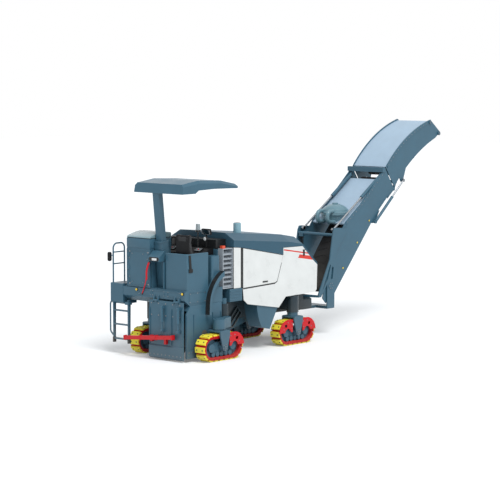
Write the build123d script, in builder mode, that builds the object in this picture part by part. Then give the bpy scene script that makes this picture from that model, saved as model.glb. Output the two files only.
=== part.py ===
"""Cold planer on four crawler tracks, with a front loading conveyor.

Millimetres. +X is the direction of travel, +Y is the machine's left, +Z is up
from the ground. The origin is on the ground under the middle of the machine.
"""
import os
from math import atan2, cos, degrees, hypot, pi, sin

from build123d import *

# Crawler tracks: the loop over its shoes, and where each unit stands
TRACK_LENGTH = 1220
TRACK_HEIGHT = 566
TRACK_WIDTH = 270
CHAIN_WIDTH = 230
CHAIN_THICK = 46
PAD_THICK = 30
PAD_LENGTH = 112
PAD_WIDTH = 254
GROUSER_THICK = 12
GROUSER_LENGTH = 138
SHOE_COUNT = 18
SHOE_SINK = 14
FRONT_TRACK_X = -1137
FRONT_RIGHT_Y = -810
FRONT_LEFT_Y = 650
REAR_TRACK_X = -3940
REAR_LEFT_Y = 775
REAR_RIGHT_Y = -1145
SEAT_GAP = 0.3
RUN_GAP = 0.4

# Legs: king post in a sleeve, fork over the track and the axle through its frame
POST_R = 85
SLEEVE_R = 135
SLEEVE_BOTTOM = 720
SLEEVE_TOP = 1085
FORK_PLATE = 30
FORK_SIDE_GAP = 16
FORK_HALF_LENGTH = 150
FORK_BOTTOM = 600
FORK_TOP = 640
AXLE_R = 45
ROLLER_R = 54
ROLLER_COUNT = 5

# Swinging leg of the rear right track
SWING_X = -3470
SWING_Y = -852
SWING_PIN_R = 62
SWING_BOSS_R = 100
ARM_BOTTOM = 660
ARM_TOP = 870
ARM_WIDTH = 150
ELBOW_X = -3560
ELBOW_Y = -1040

# Body shell and frame
BODY_HALF = 915
PANEL = 30
RAIL_OUTER = 520
RAIL_WIDTH = 110
RAIL_BOTTOM = 700
RAIL_TOP = 1180
HOOD_REAR = -3210
HOOD_FRONT = -400
SEAM = 8

# Milling drum and its housing
DRUM_X = -4140
DRUM_Z = 545
DRUM_TIP_R = 490
DRUM_R = 380
DRUM_SHAFT_R = 90
HOUSING_RIGHT = -915
HOUSING_LEFT = 115
HOUSING_WALL = 25
HOUSING_FRONT = DRUM_X + 540
HOUSING_REAR = DRUM_X - 595
HOUSING_BOTTOM = 75
DRUM_END_GAP = 12

# Operator's platform
FLOOR_Z = 1500
WALL_TOP = 2245
WALL = 32
PLATFORM_FRONT = HOUSING_FRONT + 40

# Conveyor
SLEW_X = 0
TROUGH_HALF = 500
TROUGH_WALL = 16
PIVOT_X = 560
PIVOT_Z = 1130
PIVOT_R = 45
FOLD_X = 2985
FOLD_Z = 3235
YOKE_GAP = 10
YOKE_PLATE = 26

finished = []


def side(y):
    """Plane at Y = y seen from the right; an extrusion goes towards -Y."""
    return Plane.XZ.offset(-y)


def tube(points, radius, bend=0):
    """Round tube or hose through the points; bend is the radius at each corner."""
    with BuildPart() as pipe:
        with BuildLine() as run:
            if bend:
                FilletPolyline(*points, radius=bend)
            else:
                Line(*points)
        with BuildSketch(Plane(origin=run.line @ 0, z_dir=run.line % 0)):
            Circle(radius)
        sweep(path=run.line)
    return pipe.part


def keep(piece, label):
    """Name a finished sub-part for export."""
    piece.part.label = label
    finished.append(piece.part)


# Crawler loop: one closed chain with its shoes, about its own centre
TREAD_R = TRACK_HEIGHT / 2
CHAIN_R = TREAD_R - PAD_THICK - GROUSER_THICK
LOOP_HALF = (TRACK_LENGTH - TRACK_HEIGHT) / 2
CHAIN_PATH = 4 * LOOP_HALF + 2 * pi * CHAIN_R


def on_tread(s):
    """X, Z and outward angle on the tread at the distance s round the chain."""
    straight = 2 * LOOP_HALF
    turn = pi * CHAIN_R
    if s < straight:
        return s - LOOP_HALF, TREAD_R, 90
    if s < straight + turn:
        a = pi / 2 - (s - straight) / CHAIN_R
        return LOOP_HALF + TREAD_R * cos(a), TREAD_R * sin(a), degrees(a)
    if s < 2 * straight + turn:
        return LOOP_HALF - (s - straight - turn), -TREAD_R, -90
    a = -pi / 2 - (s - 2 * straight - turn) / CHAIN_R
    return -LOOP_HALF + TREAD_R * cos(a), TREAD_R * sin(a), degrees(a)


with BuildPart() as loop:
    with BuildSketch(side(CHAIN_WIDTH / 2)):
        SlotCenterToCenter(2 * LOOP_HALF, 2 * CHAIN_R)
        SlotCenterToCenter(2 * LOOP_HALF, 2 * (CHAIN_R - CHAIN_THICK), mode=Mode.SUBTRACT)
    extrude(amount=CHAIN_WIDTH)
    for n in range(SHOE_COUNT):
        x, z, angle = on_tread((n + 0.5) * CHAIN_PATH / SHOE_COUNT)
        with Locations(Location((x, 0, z), (0, -angle, 0))):
            Box(PAD_THICK + GROUSER_THICK, PAD_WIDTH, PAD_LENGTH,
                align=(Align.MAX, Align.CENTER, Align.CENTER))
            with Locations((-PAD_THICK, 0, 0)):
                Box(GROUSER_THICK + SHOE_SINK, TRACK_WIDTH, GROUSER_LENGTH,
                    align=(Align.MAX, Align.CENTER, Align.CENTER))
    split(bisect_by=Plane.XY.offset(-TREAD_R))

# Track frame: beam, end wheels, bottom rollers, hub on the fork's axle and end guards
WHEEL_R = CHAIN_R - CHAIN_THICK - SEAT_GAP
HUB_HALF = TRACK_WIDTH / 2 + FORK_SIDE_GAP - SEAT_GAP
GUARD_GAP = 8
GUARD_THICK = 10
GUARD_START = 168
GUARD_R = TREAD_R + 14
GUARD_STUD_R = 17


def undercarriage(outside, guard_ends):
    """Track frame about its own centre; its guards stand on the given side."""
    with BuildPart() as frame:
        with BuildSketch(side(48)):
            with BuildLine():
                Polyline((-LOOP_HALF, -70), (-300, -118), (300, -118), (LOOP_HALF, -70),
                         (LOOP_HALF, 60), (210, 118), (-210, 118), (-LOOP_HALF, 60), close=True)
            make_face()
        extrude(amount=96)
        for x in (-LOOP_HALF, LOOP_HALF):
            with Locations(Location((x, 0, 0), (90, 0, 0))):
                Cylinder(WHEEL_R, 70)
                Cylinder(88, 190)
        for n in range(ROLLER_COUNT):
            x = (n - (ROLLER_COUNT - 1) / 2) * 2 * LOOP_HALF / ROLLER_COUNT
            with Locations(Location((x, 0, ROLLER_R - WHEEL_R), (90, 0, 0))):
                Cylinder(ROLLER_R, 150)
        with Locations(Location((0, 0, 0), (90, 0, 0))):
            Cylinder(82, 2 * HUB_HALF)
            Cylinder(AXLE_R + RUN_GAP, 3 * HUB_HALF, mode=Mode.SUBTRACT)
        guard_y = TRACK_WIDTH / 2 + GUARD_GAP
        for end in guard_ends:
            with BuildSketch(side(guard_y + GUARD_THICK if outside > 0 else -guard_y)):
                with Locations((end * LOOP_HALF, 0)):
                    Circle(GUARD_R)
                with Locations((end * (LOOP_HALF + GUARD_START) / 2, 0)):
                    Rectangle(LOOP_HALF - GUARD_START, 2 * GUARD_R)
                with Locations((end * (GUARD_START + LOOP_HALF + GUARD_R) / 2, GUARD_R / 2 + 10)):
                    Rectangle(LOOP_HALF + GUARD_R - GUARD_START, GUARD_R - 10, mode=Mode.INTERSECT)
                with Locations((end * LOOP_HALF, 0)):
                    Circle(100, mode=Mode.SUBTRACT)
                with Locations((end * (LOOP_HALF + 70), 165)):
                    RectangleRounded(76, 60, 12, mode=Mode.SUBTRACT)
            extrude(amount=GUARD_THICK)
            with Locations(Location((end * 250, outside * guard_y / 2, 64), (90, 0, 0))):
                Cylinder(GUARD_STUD_R, guard_y + 4)
    return frame.part


def knuckle(post_base, post_top):
    """King post, fork and axle of one leg, about the king post's axis."""
    outer = TRACK_WIDTH / 2 + FORK_SIDE_GAP + FORK_PLATE
    with BuildPart() as leg:
        with BuildSketch(side(outer)):
            with BuildLine():
                Polyline((-FORK_HALF_LENGTH, FORK_BOTTOM), (FORK_HALF_LENGTH, FORK_BOTTOM),
                         (FORK_HALF_LENGTH, FORK_TOP - 12), (FORK_HALF_LENGTH - 30, FORK_TOP),
                         (30 - FORK_HALF_LENGTH, FORK_TOP), (-FORK_HALF_LENGTH, FORK_TOP - 12), close=True)
            make_face()
        extrude(amount=2 * outer)
        for y in (outer, FORK_PLATE - outer):
            with BuildSketch(side(y)):
                with BuildLine():
                    Polyline((-74, TREAD_R - 14), (-FORK_HALF_LENGTH, FORK_BOTTOM - 60),
                             (-FORK_HALF_LENGTH, FORK_BOTTOM), (FORK_HALF_LENGTH, FORK_BOTTOM),
                             (FORK_HALF_LENGTH, FORK_BOTTOM - 60), (74, TREAD_R - 14))
                    ThreePointArc((74, TREAD_R - 14), (0, TREAD_R - 76), (-74, TREAD_R - 14))
                make_face()
            extrude(amount=FORK_PLATE)
        with Locations(Location((0, 0, TREAD_R), (90, 0, 0))):
            Cylinder(AXLE_R, 2 * outer + 20)
        with Locations((0, 0, FORK_TOP)):
            Cylinder(SLEEVE_R - 15, post_base - SEAT_GAP - FORK_TOP,
                     align=(Align.CENTER, Align.CENTER, Align.MIN))
            Cylinder(POST_R, post_top - FORK_TOP, align=(Align.CENTER, Align.CENTER, Align.MIN))
    return leg.part


# Name, X, Y, underside of the sleeve, top of the post and guarded ends of each track unit
track_units = (
    ("front_right", FRONT_TRACK_X, FRONT_RIGHT_Y, SLEEVE_BOTTOM, SLEEVE_TOP - 5, (-1, 1)),
    ("front_left", FRONT_TRACK_X, FRONT_LEFT_Y, SLEEVE_BOTTOM, SLEEVE_TOP - 5, (-1, 1)),
    ("rear_right", REAR_TRACK_X, REAR_RIGHT_Y, ARM_BOTTOM, ARM_TOP + 12, (1,)),
    ("rear_left", REAR_TRACK_X, REAR_LEFT_Y, SLEEVE_BOTTOM, SLEEVE_TOP - 5, (1,)),
)
for corner, x, y, base, top, guard_ends in track_units:
    with BuildPart() as track:
        with Locations((x, y, TREAD_R)):
            add(loop.part)
    keep(track, "track_" + corner)
    with BuildPart() as track_frame:
        with Locations((x, y, TREAD_R)):
            add(undercarriage(1 if y > 0 else -1, guard_ends))
    keep(track_frame, "track_frame_" + corner)
    with BuildPart() as leg:
        with Locations((x, y, 0)):
            add(knuckle(base, top))
    keep(leg, "leg_" + corner)

# Swing arm: carries the rear right leg beside the drum or in front of it
arm_run = ((SWING_X, SWING_Y), (ELBOW_X, ELBOW_Y), (REAR_TRACK_X, REAR_RIGHT_Y))
with BuildPart() as swing_arm:
    with BuildSketch(Plane.XY.offset(ARM_BOTTOM)):
        for (x0, y0), (x1, y1) in zip(arm_run, arm_run[1:]):
            with Locations(Location(((x0 + x1) / 2, (y0 + y1) / 2), degrees(atan2(y1 - y0, x1 - x0)))):
                SlotCenterToCenter(hypot(x1 - x0, y1 - y0), ARM_WIDTH)
        with Locations((SWING_X, SWING_Y)):
            Circle(SWING_BOSS_R)
        with Locations((REAR_TRACK_X, REAR_RIGHT_Y)):
            Circle(SLEEVE_R)
    extrude(amount=ARM_TOP - ARM_BOTTOM)
    with Locations((SWING_X, SWING_Y, ARM_TOP)):
        Cylinder(SWING_PIN_R, RAIL_TOP + 60 - ARM_TOP, align=(Align.CENTER, Align.CENTER, Align.MIN))
    with Locations((REAR_TRACK_X, REAR_RIGHT_Y, ARM_BOTTOM)):
        Cylinder(POST_R + RUN_GAP, 2 * (ARM_TOP - ARM_BOTTOM), mode=Mode.SUBTRACT)
keep(swing_arm, "swing_arm")

# Main frame: two rails, ties, leg sleeves, swing bracket and the turntable nose
NOSE_TOP = 890
NOSE_BOTTOM = 670
NOSE_R = 268
NOSE_HALF = 480
KING_PIN_R = 60
STEP_CENTRE = (-2785, 735)
STEP_LENGTH = 470
STEP_WIDTH = 220
STEP_DEPTH = 50
fixed_sleeves = ((FRONT_TRACK_X, FRONT_RIGHT_Y), (FRONT_TRACK_X, FRONT_LEFT_Y),
                 (REAR_TRACK_X, REAR_LEFT_Y))
with BuildPart() as main_frame:
    for start, y in ((HOUSING_FRONT, RAIL_WIDTH - RAIL_OUTER), (-4250, RAIL_OUTER)):
        with BuildSketch(side(y)):
            with BuildLine():
                Polyline((start, RAIL_BOTTOM + 90), (start + 250, RAIL_BOTTOM), (-420, RAIL_BOTTOM),
                         (-420, 1000), (-560, RAIL_TOP), (start, RAIL_TOP), close=True)
            make_face()
        extrude(amount=RAIL_WIDTH)
    inner = RAIL_OUTER - RAIL_WIDTH
    for x, z in ((-3480, RAIL_TOP - 90), (-2500, RAIL_TOP - 90), (FRONT_TRACK_X, RAIL_BOTTOM - 15)):
        with Locations((x, 0, z)):
            Box(140, 2 * inner, 90, align=(Align.CENTER, Align.CENTER, Align.MIN))
    for x, y in fixed_sleeves:
        reach = abs(y) - inner
        with Locations((x, y, SLEEVE_BOTTOM)):
            Cylinder(SLEEVE_R, SLEEVE_TOP - SLEEVE_BOTTOM,
                     align=(Align.CENTER, Align.CENTER, Align.MIN))
        with Locations((x, y - (reach / 2 if y > 0 else -reach / 2), SLEEVE_BOTTOM + 50)):
            Box(2 * SLEEVE_R - 30, reach, SLEEVE_TOP - SLEEVE_BOTTOM - 50,
                align=(Align.CENTER, Align.CENTER, Align.MIN))
    for x, y in fixed_sleeves:
        with Locations((x, y, SLEEVE_BOTTOM)):
            Cylinder(POST_R + RUN_GAP, 2 * (SLEEVE_TOP - SLEEVE_BOTTOM), mode=Mode.SUBTRACT)
    with Locations((SWING_X, SWING_Y, ARM_TOP + 6)):
        Box(150, -SWING_Y - inner, RAIL_TOP - 60 - ARM_TOP,
            align=(Align.CENTER, Align.MIN, Align.MIN))
        Cylinder(SWING_BOSS_R, RAIL_TOP - 60 - ARM_TOP, align=(Align.CENTER, Align.CENTER, Align.MIN))
    with Locations((SWING_X, SWING_Y, ARM_TOP)):
        Cylinder(SWING_PIN_R + RUN_GAP, 3 * (RAIL_TOP - ARM_TOP), mode=Mode.SUBTRACT)
    with BuildSketch(Plane.XY.offset(NOSE_BOTTOM)):
        with BuildLine():
            Polyline((-640, -NOSE_HALF), (-70, -NOSE_HALF), (100, -280), (100, 280),
                     (-70, NOSE_HALF), (-640, NOSE_HALF), close=True)
        make_face()
        Circle(NOSE_R)
    extrude(amount=NOSE_TOP - NOSE_BOTTOM)
    with Locations((SLEW_X, 0, NOSE_BOTTOM)):
        Cylinder(KING_PIN_R + RUN_GAP, 2 * (NOSE_TOP - NOSE_BOTTOM), mode=Mode.SUBTRACT)
    with BuildSketch(side(-RAIL_OUTER)):
        with Locations(Location(STEP_CENTRE, 45)):
            RectangleRounded(STEP_LENGTH, STEP_WIDTH, 45)
            for edge in (-1, 1):
                with Locations((0, edge * STEP_WIDTH / 4.4)):
                    RectangleRounded(STEP_LENGTH - 60, STEP_WIDTH / 2 - 36, 24, mode=Mode.SUBTRACT)
    extrude(amount=STEP_DEPTH)
keep(main_frame, "main_frame")

# Engine and pumps, closed in under the hood
with BuildPart() as engine:
    with Locations((-1950, 0, RAIL_TOP)):
        Box(1150, 900, 800, align=(Align.CENTER, Align.CENTER, Align.MIN))
keep(engine, "engine_block")

# Drum housing, open below and behind, with its side skid and the drum's gear case
GEAR_CASE_R = 265
GEAR_CASE = 170
SKID_THICK = 18
RIB = 16
drum_half = (HOUSING_LEFT - HOUSING_RIGHT) / 2 - HOUSING_WALL - DRUM_END_GAP
drum_y = (HOUSING_LEFT + HOUSING_RIGHT) / 2
with BuildPart() as drum_housing:
    with BuildSketch(side(HOUSING_LEFT)):
        with BuildLine():
            Polyline((HOUSING_REAR + 160, RAIL_TOP), (HOUSING_REAR + 30, 1010),
                     (HOUSING_REAR + 30, HOUSING_BOTTOM), (HOUSING_FRONT - 90, HOUSING_BOTTOM),
                     (HOUSING_FRONT, HOUSING_BOTTOM + 160), (HOUSING_FRONT, RAIL_TOP), close=True)
        make_face()
    extrude(amount=HOUSING_LEFT - HOUSING_RIGHT)
    with BuildSketch(side(HOUSING_LEFT - HOUSING_WALL)):
        with BuildLine():
            Polyline((HOUSING_REAR - 50, RAIL_TOP - 170), (HOUSING_REAR + 200, RAIL_TOP - 40),
                     (HOUSING_FRONT - HOUSING_WALL - 120, RAIL_TOP - 40),
                     (HOUSING_FRONT - HOUSING_WALL, 980),
                     (HOUSING_FRONT - HOUSING_WALL, HOUSING_BOTTOM + 160),
                     (HOUSING_FRONT - HOUSING_WALL - 90, 0), (HOUSING_REAR - 50, 0), close=True)
        make_face()
    extrude(amount=HOUSING_LEFT - HOUSING_RIGHT - 2 * HOUSING_WALL, mode=Mode.SUBTRACT)
    with Locations(Location((DRUM_X, HOUSING_LEFT + GEAR_CASE / 2, DRUM_Z), (90, 0, 0))):
        Cylinder(GEAR_CASE_R, GEAR_CASE)
    with BuildSketch(side(HOUSING_RIGHT)):
        with BuildLine():
            Polyline((HOUSING_REAR + 30, HOUSING_BOTTOM), (HOUSING_FRONT - 90, HOUSING_BOTTOM),
                     (HOUSING_FRONT - 10, HOUSING_BOTTOM + 140), (HOUSING_FRONT - 10, HOUSING_BOTTOM + 165),
                     (HOUSING_REAR + 30, HOUSING_BOTTOM + 165), close=True)
        make_face()
    extrude(amount=SKID_THICK)
    for x in (HOUSING_REAR + 40, DRUM_X - 330, DRUM_X + 260, HOUSING_FRONT - 25):
        with Locations((x, HOUSING_RIGHT, HOUSING_BOTTOM + 165)):
            Box(RIB, RIB, RAIL_TOP - HOUSING_BOTTOM - 355, align=(Align.CENTER, Align.MAX, Align.MIN))
    with Locations(Location((DRUM_X, drum_y, DRUM_Z), (90, 0, 0))):
        Cylinder(DRUM_SHAFT_R + RUN_GAP, HOUSING_LEFT - HOUSING_RIGHT + 4, mode=Mode.SUBTRACT)
    with Locations((HOUSING_FRONT - HOUSING_WALL / 2, drum_y, HOUSING_BOTTOM + 390)):
        Box(2 * HOUSING_WALL, 560, 330, mode=Mode.SUBTRACT)
keep(drum_housing, "drum_housing")

# Milling drum with its pick holders in two helices
PICK_ROWS = 14
PICK_STARTS = 4
with BuildPart() as milling_drum:
    with Locations(Location((DRUM_X, drum_y, DRUM_Z), (90, 0, 0))):
        Cylinder(DRUM_R, 2 * drum_half)
        Cylinder(DRUM_SHAFT_R, HOUSING_LEFT - HOUSING_RIGHT + 2)
    for row in range(PICK_ROWS):
        y = drum_y + (row - (PICK_ROWS - 1) / 2) * (2 * drum_half - 60) / (PICK_ROWS - 1)
        lead = abs(row - (PICK_ROWS - 1) / 2) * 21
        for start in range(PICK_STARTS):
            angle = lead + start * 360 / PICK_STARTS
            with Locations(Location((DRUM_X, y, DRUM_Z), (0, -angle, 0))):
                with Locations((DRUM_TIP_R, 0, 0)):
                    Box(DRUM_TIP_R - DRUM_R + 20, 34, 62, align=(Align.MAX, Align.CENTER, Align.CENTER))
keep(milling_drum, "milling_drum")

# Scraper across the back of the housing: ribbed plate and wear blade, hung from a hinge
# under the rear body, with the two cylinders that press its blade down
SCRAPER_THICK = 28
SCRAPER_GAP = 6
SCRAPER_TOP = 1260
SCRAPER_BOTTOM = 30
SCRAPER_EYES = (-700, -100)
SCRAPER_EYE = 90
SCRAPER_EYE_R = 26
SCRAPER_PIN_R = 14
SCRAPER_HINGE_X = HOUSING_REAR - SCRAPER_GAP - SCRAPER_THICK
SCRAPER_LUG = 22
BLADE_RODS = (-790, -330)
BLADE_ROD_OUT = 54
BLADE_TOP_EYE = 1130
BLADE_LOW_EYE = 640
blade_x = SCRAPER_HINGE_X - BLADE_ROD_OUT
with BuildPart() as scraper:
    with BuildSketch(side(HOUSING_LEFT - 30)):
        with BuildLine():
            Polyline((HOUSING_REAR - SCRAPER_GAP, SCRAPER_BOTTOM),
                     (HOUSING_REAR - SCRAPER_GAP, SCRAPER_TOP), (SCRAPER_HINGE_X, SCRAPER_TOP),
                     (SCRAPER_HINGE_X, 330), (SCRAPER_HINGE_X - 22, 300),
                     (SCRAPER_HINGE_X - 22, SCRAPER_BOTTOM + 40), close=True)
        make_face()
    extrude(amount=HOUSING_LEFT - HOUSING_RIGHT - 60)
    for y in (HOUSING_RIGHT + 45, -560, HOUSING_LEFT - 45):
        with BuildSketch(side(y + RIB / 2)):
            with BuildLine():
                Polyline((SCRAPER_HINGE_X, 320), (SCRAPER_HINGE_X - 22, 360), (SCRAPER_HINGE_X - 22, 1070),
                         (SCRAPER_HINGE_X, 1130), close=True)
            make_face()
        extrude(amount=RIB)
    for y in BLADE_RODS:
        for z in (BLADE_TOP_EYE, BLADE_LOW_EYE):
            with Locations((SCRAPER_HINGE_X, y, z)):
                Box(BLADE_ROD_OUT, 56, 56, align=(Align.MAX, Align.CENTER, Align.CENTER))
            with Locations(Location((blade_x, y, z), (90, 0, 0))):
                Cylinder(28, 56)
        with Locations((blade_x, y, BLADE_TOP_EYE)):
            Cylinder(32, 310, align=(Align.CENTER, Align.CENTER, Align.MAX))
        with Locations((blade_x, y, BLADE_LOW_EYE)):
            Cylinder(15, 280, align=(Align.CENTER, Align.CENTER, Align.MIN))
    for y in SCRAPER_EYES:
        with Locations(Location((SCRAPER_HINGE_X, y, SCRAPER_TOP), (90, 0, 0))):
            Cylinder(SCRAPER_EYE_R, SCRAPER_EYE)
            Cylinder(SCRAPER_PIN_R + RUN_GAP, SCRAPER_EYE + 2, mode=Mode.SUBTRACT)
        for end in (-1, 1):
            with Locations((SCRAPER_HINGE_X, y + end * (SCRAPER_EYE + 34) / 2, SCRAPER_TOP)):
                Box(90, 34, 2 * SCRAPER_EYE_R + 30, mode=Mode.SUBTRACT)
keep(scraper, "scraper")

# Rear body: pump and valve compartment under the platform, with panel frames, the scraper's
# hinge lugs and the curved guard over the swinging leg
GUARD_OUT = 145
FRAME_LINE = 12
with BuildPart() as rear_body:
    with BuildSketch(side(BODY_HALF - 15)):
        with BuildLine():
            Polyline((HOUSING_REAR + 160, RAIL_TOP), (PLATFORM_FRONT, RAIL_TOP),
                     (PLATFORM_FRONT, FLOOR_Z - 20), (HOUSING_REAR, FLOOR_Z - 20),
                     (HOUSING_REAR, RAIL_TOP + 120), close=True)
        make_face()
    extrude(amount=2 * (BODY_HALF - 15))
    for y in (-590, -150, 250):
        with BuildSketch(Plane((HOUSING_REAR, y, FLOOR_Z - 95), x_dir=(0, -1, 0), z_dir=(-1, 0, 0))):
            RectangleRounded(360, 120, 14)
            RectangleRounded(360 - 2 * FRAME_LINE, 120 - 2 * FRAME_LINE, 8, mode=Mode.SUBTRACT)
        extrude(amount=7)
    with BuildSketch(side(15 - BODY_HALF)):
        with Locations(((HOUSING_REAR + PLATFORM_FRONT) / 2 - 190, FLOOR_Z - 160)):
            RectangleRounded(520, 230, 20)
            RectangleRounded(520 - 2 * FRAME_LINE, 230 - 2 * FRAME_LINE, 12, mode=Mode.SUBTRACT)
    extrude(amount=7)
    with BuildSketch(side(15 - BODY_HALF)):
        with BuildLine():
            outer = ThreePointArc((-3650, 1850), (-3985, 1560), (-4110, 1190))
            lower = Line(outer @ 1, (-4120, 960))
            base = Line(lower @ 1, (-4060, 960))
            inner = ThreePointArc(base @ 1, (-3945, 1480), (-3650, 1740))
            Line(inner @ 1, outer @ 0)
        make_face()
    extrude(amount=GUARD_OUT)
    with Locations((DRUM_X, HOUSING_RIGHT - 2, RAIL_TOP)):
        Box(600, 60, 400, align=(Align.CENTER, Align.MIN, Align.MAX), mode=Mode.SUBTRACT)
    for y in SCRAPER_EYES:
        with Locations(Location((SCRAPER_HINGE_X, y, SCRAPER_TOP), (90, 0, 0))):
            Cylinder(SCRAPER_PIN_R, SCRAPER_EYE + 52)
        for end in (-1, 1):
            with BuildSketch(side(y + end * (SCRAPER_EYE / 2 + 14) + SCRAPER_LUG / 2)):
                with BuildLine():
                    Polyline((SCRAPER_HINGE_X + 10, SCRAPER_TOP - 20), (HOUSING_REAR + 40, RAIL_TOP + 110),
                             (HOUSING_REAR + 40, RAIL_TOP + 200), (HOUSING_REAR, RAIL_TOP + 200),
                             (SCRAPER_HINGE_X - 22, SCRAPER_TOP + 10), close=True)
                make_face()
                with Locations((SCRAPER_HINGE_X, SCRAPER_TOP)):
                    Circle(24)
            extrude(amount=SCRAPER_LUG)
keep(rear_body, "rear_body")

# Primary conveyor from the drum to the nose, between the rails: closed trough and its belt
PRIMARY_HALF = 300
PRIMARY_WALL = 12
PRIMARY_DROP = 270
primary_low = (HOUSING_FRONT, 180)
primary_high = (220, 1150)
primary_lean = degrees(atan2(primary_high[1] - primary_low[1], primary_high[0] - primary_low[0]))
with BuildPart() as primary_conveyor:
    with BuildSketch(side(PRIMARY_HALF)):
        with BuildLine():
            Polyline(primary_low, primary_high, (220, primary_high[1] + PRIMARY_DROP),
                     (60, primary_high[1] + PRIMARY_DROP),
                     (HOUSING_FRONT, primary_low[1] + PRIMARY_DROP), close=True)
        make_face()
    extrude(amount=2 * PRIMARY_HALF)
    with BuildSketch(side(PRIMARY_HALF - PRIMARY_WALL)):
        with BuildLine():
            Polyline((HOUSING_FRONT - 5, primary_low[1] + PRIMARY_WALL),
                     (225, primary_high[1] + PRIMARY_WALL),
                     (225, primary_high[1] + PRIMARY_DROP - PRIMARY_WALL),
                     (65, primary_high[1] + PRIMARY_DROP - PRIMARY_WALL),
                     (HOUSING_FRONT - 5, primary_low[1] + PRIMARY_DROP - PRIMARY_WALL), close=True)
        make_face()
    extrude(amount=2 * (PRIMARY_HALF - PRIMARY_WALL), mode=Mode.SUBTRACT)
    middle = ((primary_low[0] + primary_high[0]) / 2, (primary_low[1] + primary_high[1]) / 2 + 90)
    with Locations(Location((middle[0], 0, middle[1]), (0, -primary_lean, 0))):
        Box(3700, 2 * (PRIMARY_HALF - PRIMARY_WALL), 26)
    with Locations(Location((130, 0, primary_high[1] + 75), (90, 0, 0))):
        Cylinder(62, 2 * (PRIMARY_HALF - PRIMARY_WALL))
keep(primary_conveyor, "primary_conveyor")

# Hood: moulded top with falling shoulders, and a band that ends over the side panels
HOOD_SHOULDER = 260
HOOD_FALL = 150
HOOD_SKIN = 35
EXHAUST_X = -2560
EXHAUST_Y = -430
EXHAUST_R = 85
hood_crest = ((HOOD_REAR, 2610), (-1360, 2450), (-905, 2370), (-590, 2075), (HOOD_FRONT, 1920))
band_edge = ((HOOD_REAR - 5, 2312), (HOOD_REAR, 2312), (-2920, 2285), (-1580, 2035), (-1580, 2190),
             (-912, 2180), (-592, 1882), (HOOD_FRONT, 1730), (HOOD_FRONT + 50, 1730))


def hood_form(inset, skin, rear, front):
    """Solid under the hood's skin between two X places, inset at its sides and under its crest."""
    half = BODY_HALF - inset
    flat = BODY_HALF - HOOD_SHOULDER
    with BuildPart() as form:
        for x, crest in ((rear, hood_crest[0][1]), *hood_crest[1:-1], (front, hood_crest[-1][1])):
            top = crest - skin
            with BuildSketch(Plane.YZ.offset(x)):
                with BuildLine():
                    Polyline((-half, 1500), (-half, top - HOOD_FALL), (-flat, top), (flat, top),
                             (half, top - HOOD_FALL), (half, 1500), close=True)
                make_face()
        loft(ruled=True)
    return form.part


with BuildPart() as hood:
    add(hood_form(0, 0, HOOD_REAR, HOOD_FRONT))
    add(hood_form(PANEL, HOOD_SKIN, HOOD_REAR + PANEL, HOOD_FRONT + 40), mode=Mode.SUBTRACT)
    with BuildSketch(side(BODY_HALF + 5)):
        with BuildLine():
            Polyline(*band_edge, (HOOD_FRONT + 50, 1400), (HOOD_REAR - 5, 1400), close=True)
        make_face()
    extrude(amount=2 * BODY_HALF + 10, mode=Mode.SUBTRACT)
    with Locations((EXHAUST_X, EXHAUST_Y, 2400)):
        Cylinder(EXHAUST_R + SEAT_GAP, 600, mode=Mode.SUBTRACT)
keep(hood, "hood")

# Front grille and rear bulkhead, which close the hood's ends and carry the side panels
SERVICE_TOP = 1422
SERVICE_IN = 565
BULKHEAD = 25
GRILLE_X = HOOD_FRONT - 60
GRILLE_SLOTS = 6
GRILLE_MARGIN = 135
half = BODY_HALF - PANEL
flat = BODY_HALF - HOOD_SHOULDER
bulkhead_top = hood_crest[0][1] - HOOD_SKIN - 8
grille_top = hood_crest[-1][1] - HOOD_SKIN
with BuildPart() as rear_bulkhead:
    with BuildSketch(Plane.YZ.offset(HOOD_REAR + PANEL)):
        with BuildLine():
            Polyline((-SERVICE_IN, RAIL_TOP), (-SERVICE_IN, SERVICE_TOP), (-half, SERVICE_TOP),
                     (-half, bulkhead_top - HOOD_FALL), (-flat, bulkhead_top), (flat, bulkhead_top),
                     (half, bulkhead_top - HOOD_FALL), (half, SERVICE_TOP), (SERVICE_IN, SERVICE_TOP),
                     (SERVICE_IN, RAIL_TOP), close=True)
        make_face()
    extrude(amount=BULKHEAD)
keep(rear_bulkhead, "rear_bulkhead")

with BuildPart() as front_grille:
    with BuildSketch(Plane.YZ.offset(GRILLE_X)):
        with BuildLine():
            Polyline((-half, 1120), (-half, grille_top - HOOD_FALL), (-flat, grille_top),
                     (flat, grille_top), (half, grille_top - HOOD_FALL), (half, 1120), close=True)
        make_face()
        with Locations((0, 1120)):
            Rectangle(2 * PRIMARY_HALF + 12, 2 * 200, mode=Mode.SUBTRACT)
        for n in range(GRILLE_SLOTS):
            with Locations((0, 1400 + n * 72)):
                SlotOverall(2 * (half - GRILLE_MARGIN), 40, mode=Mode.SUBTRACT)
    extrude(amount=35)
keep(front_grille, "front_grille")

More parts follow.
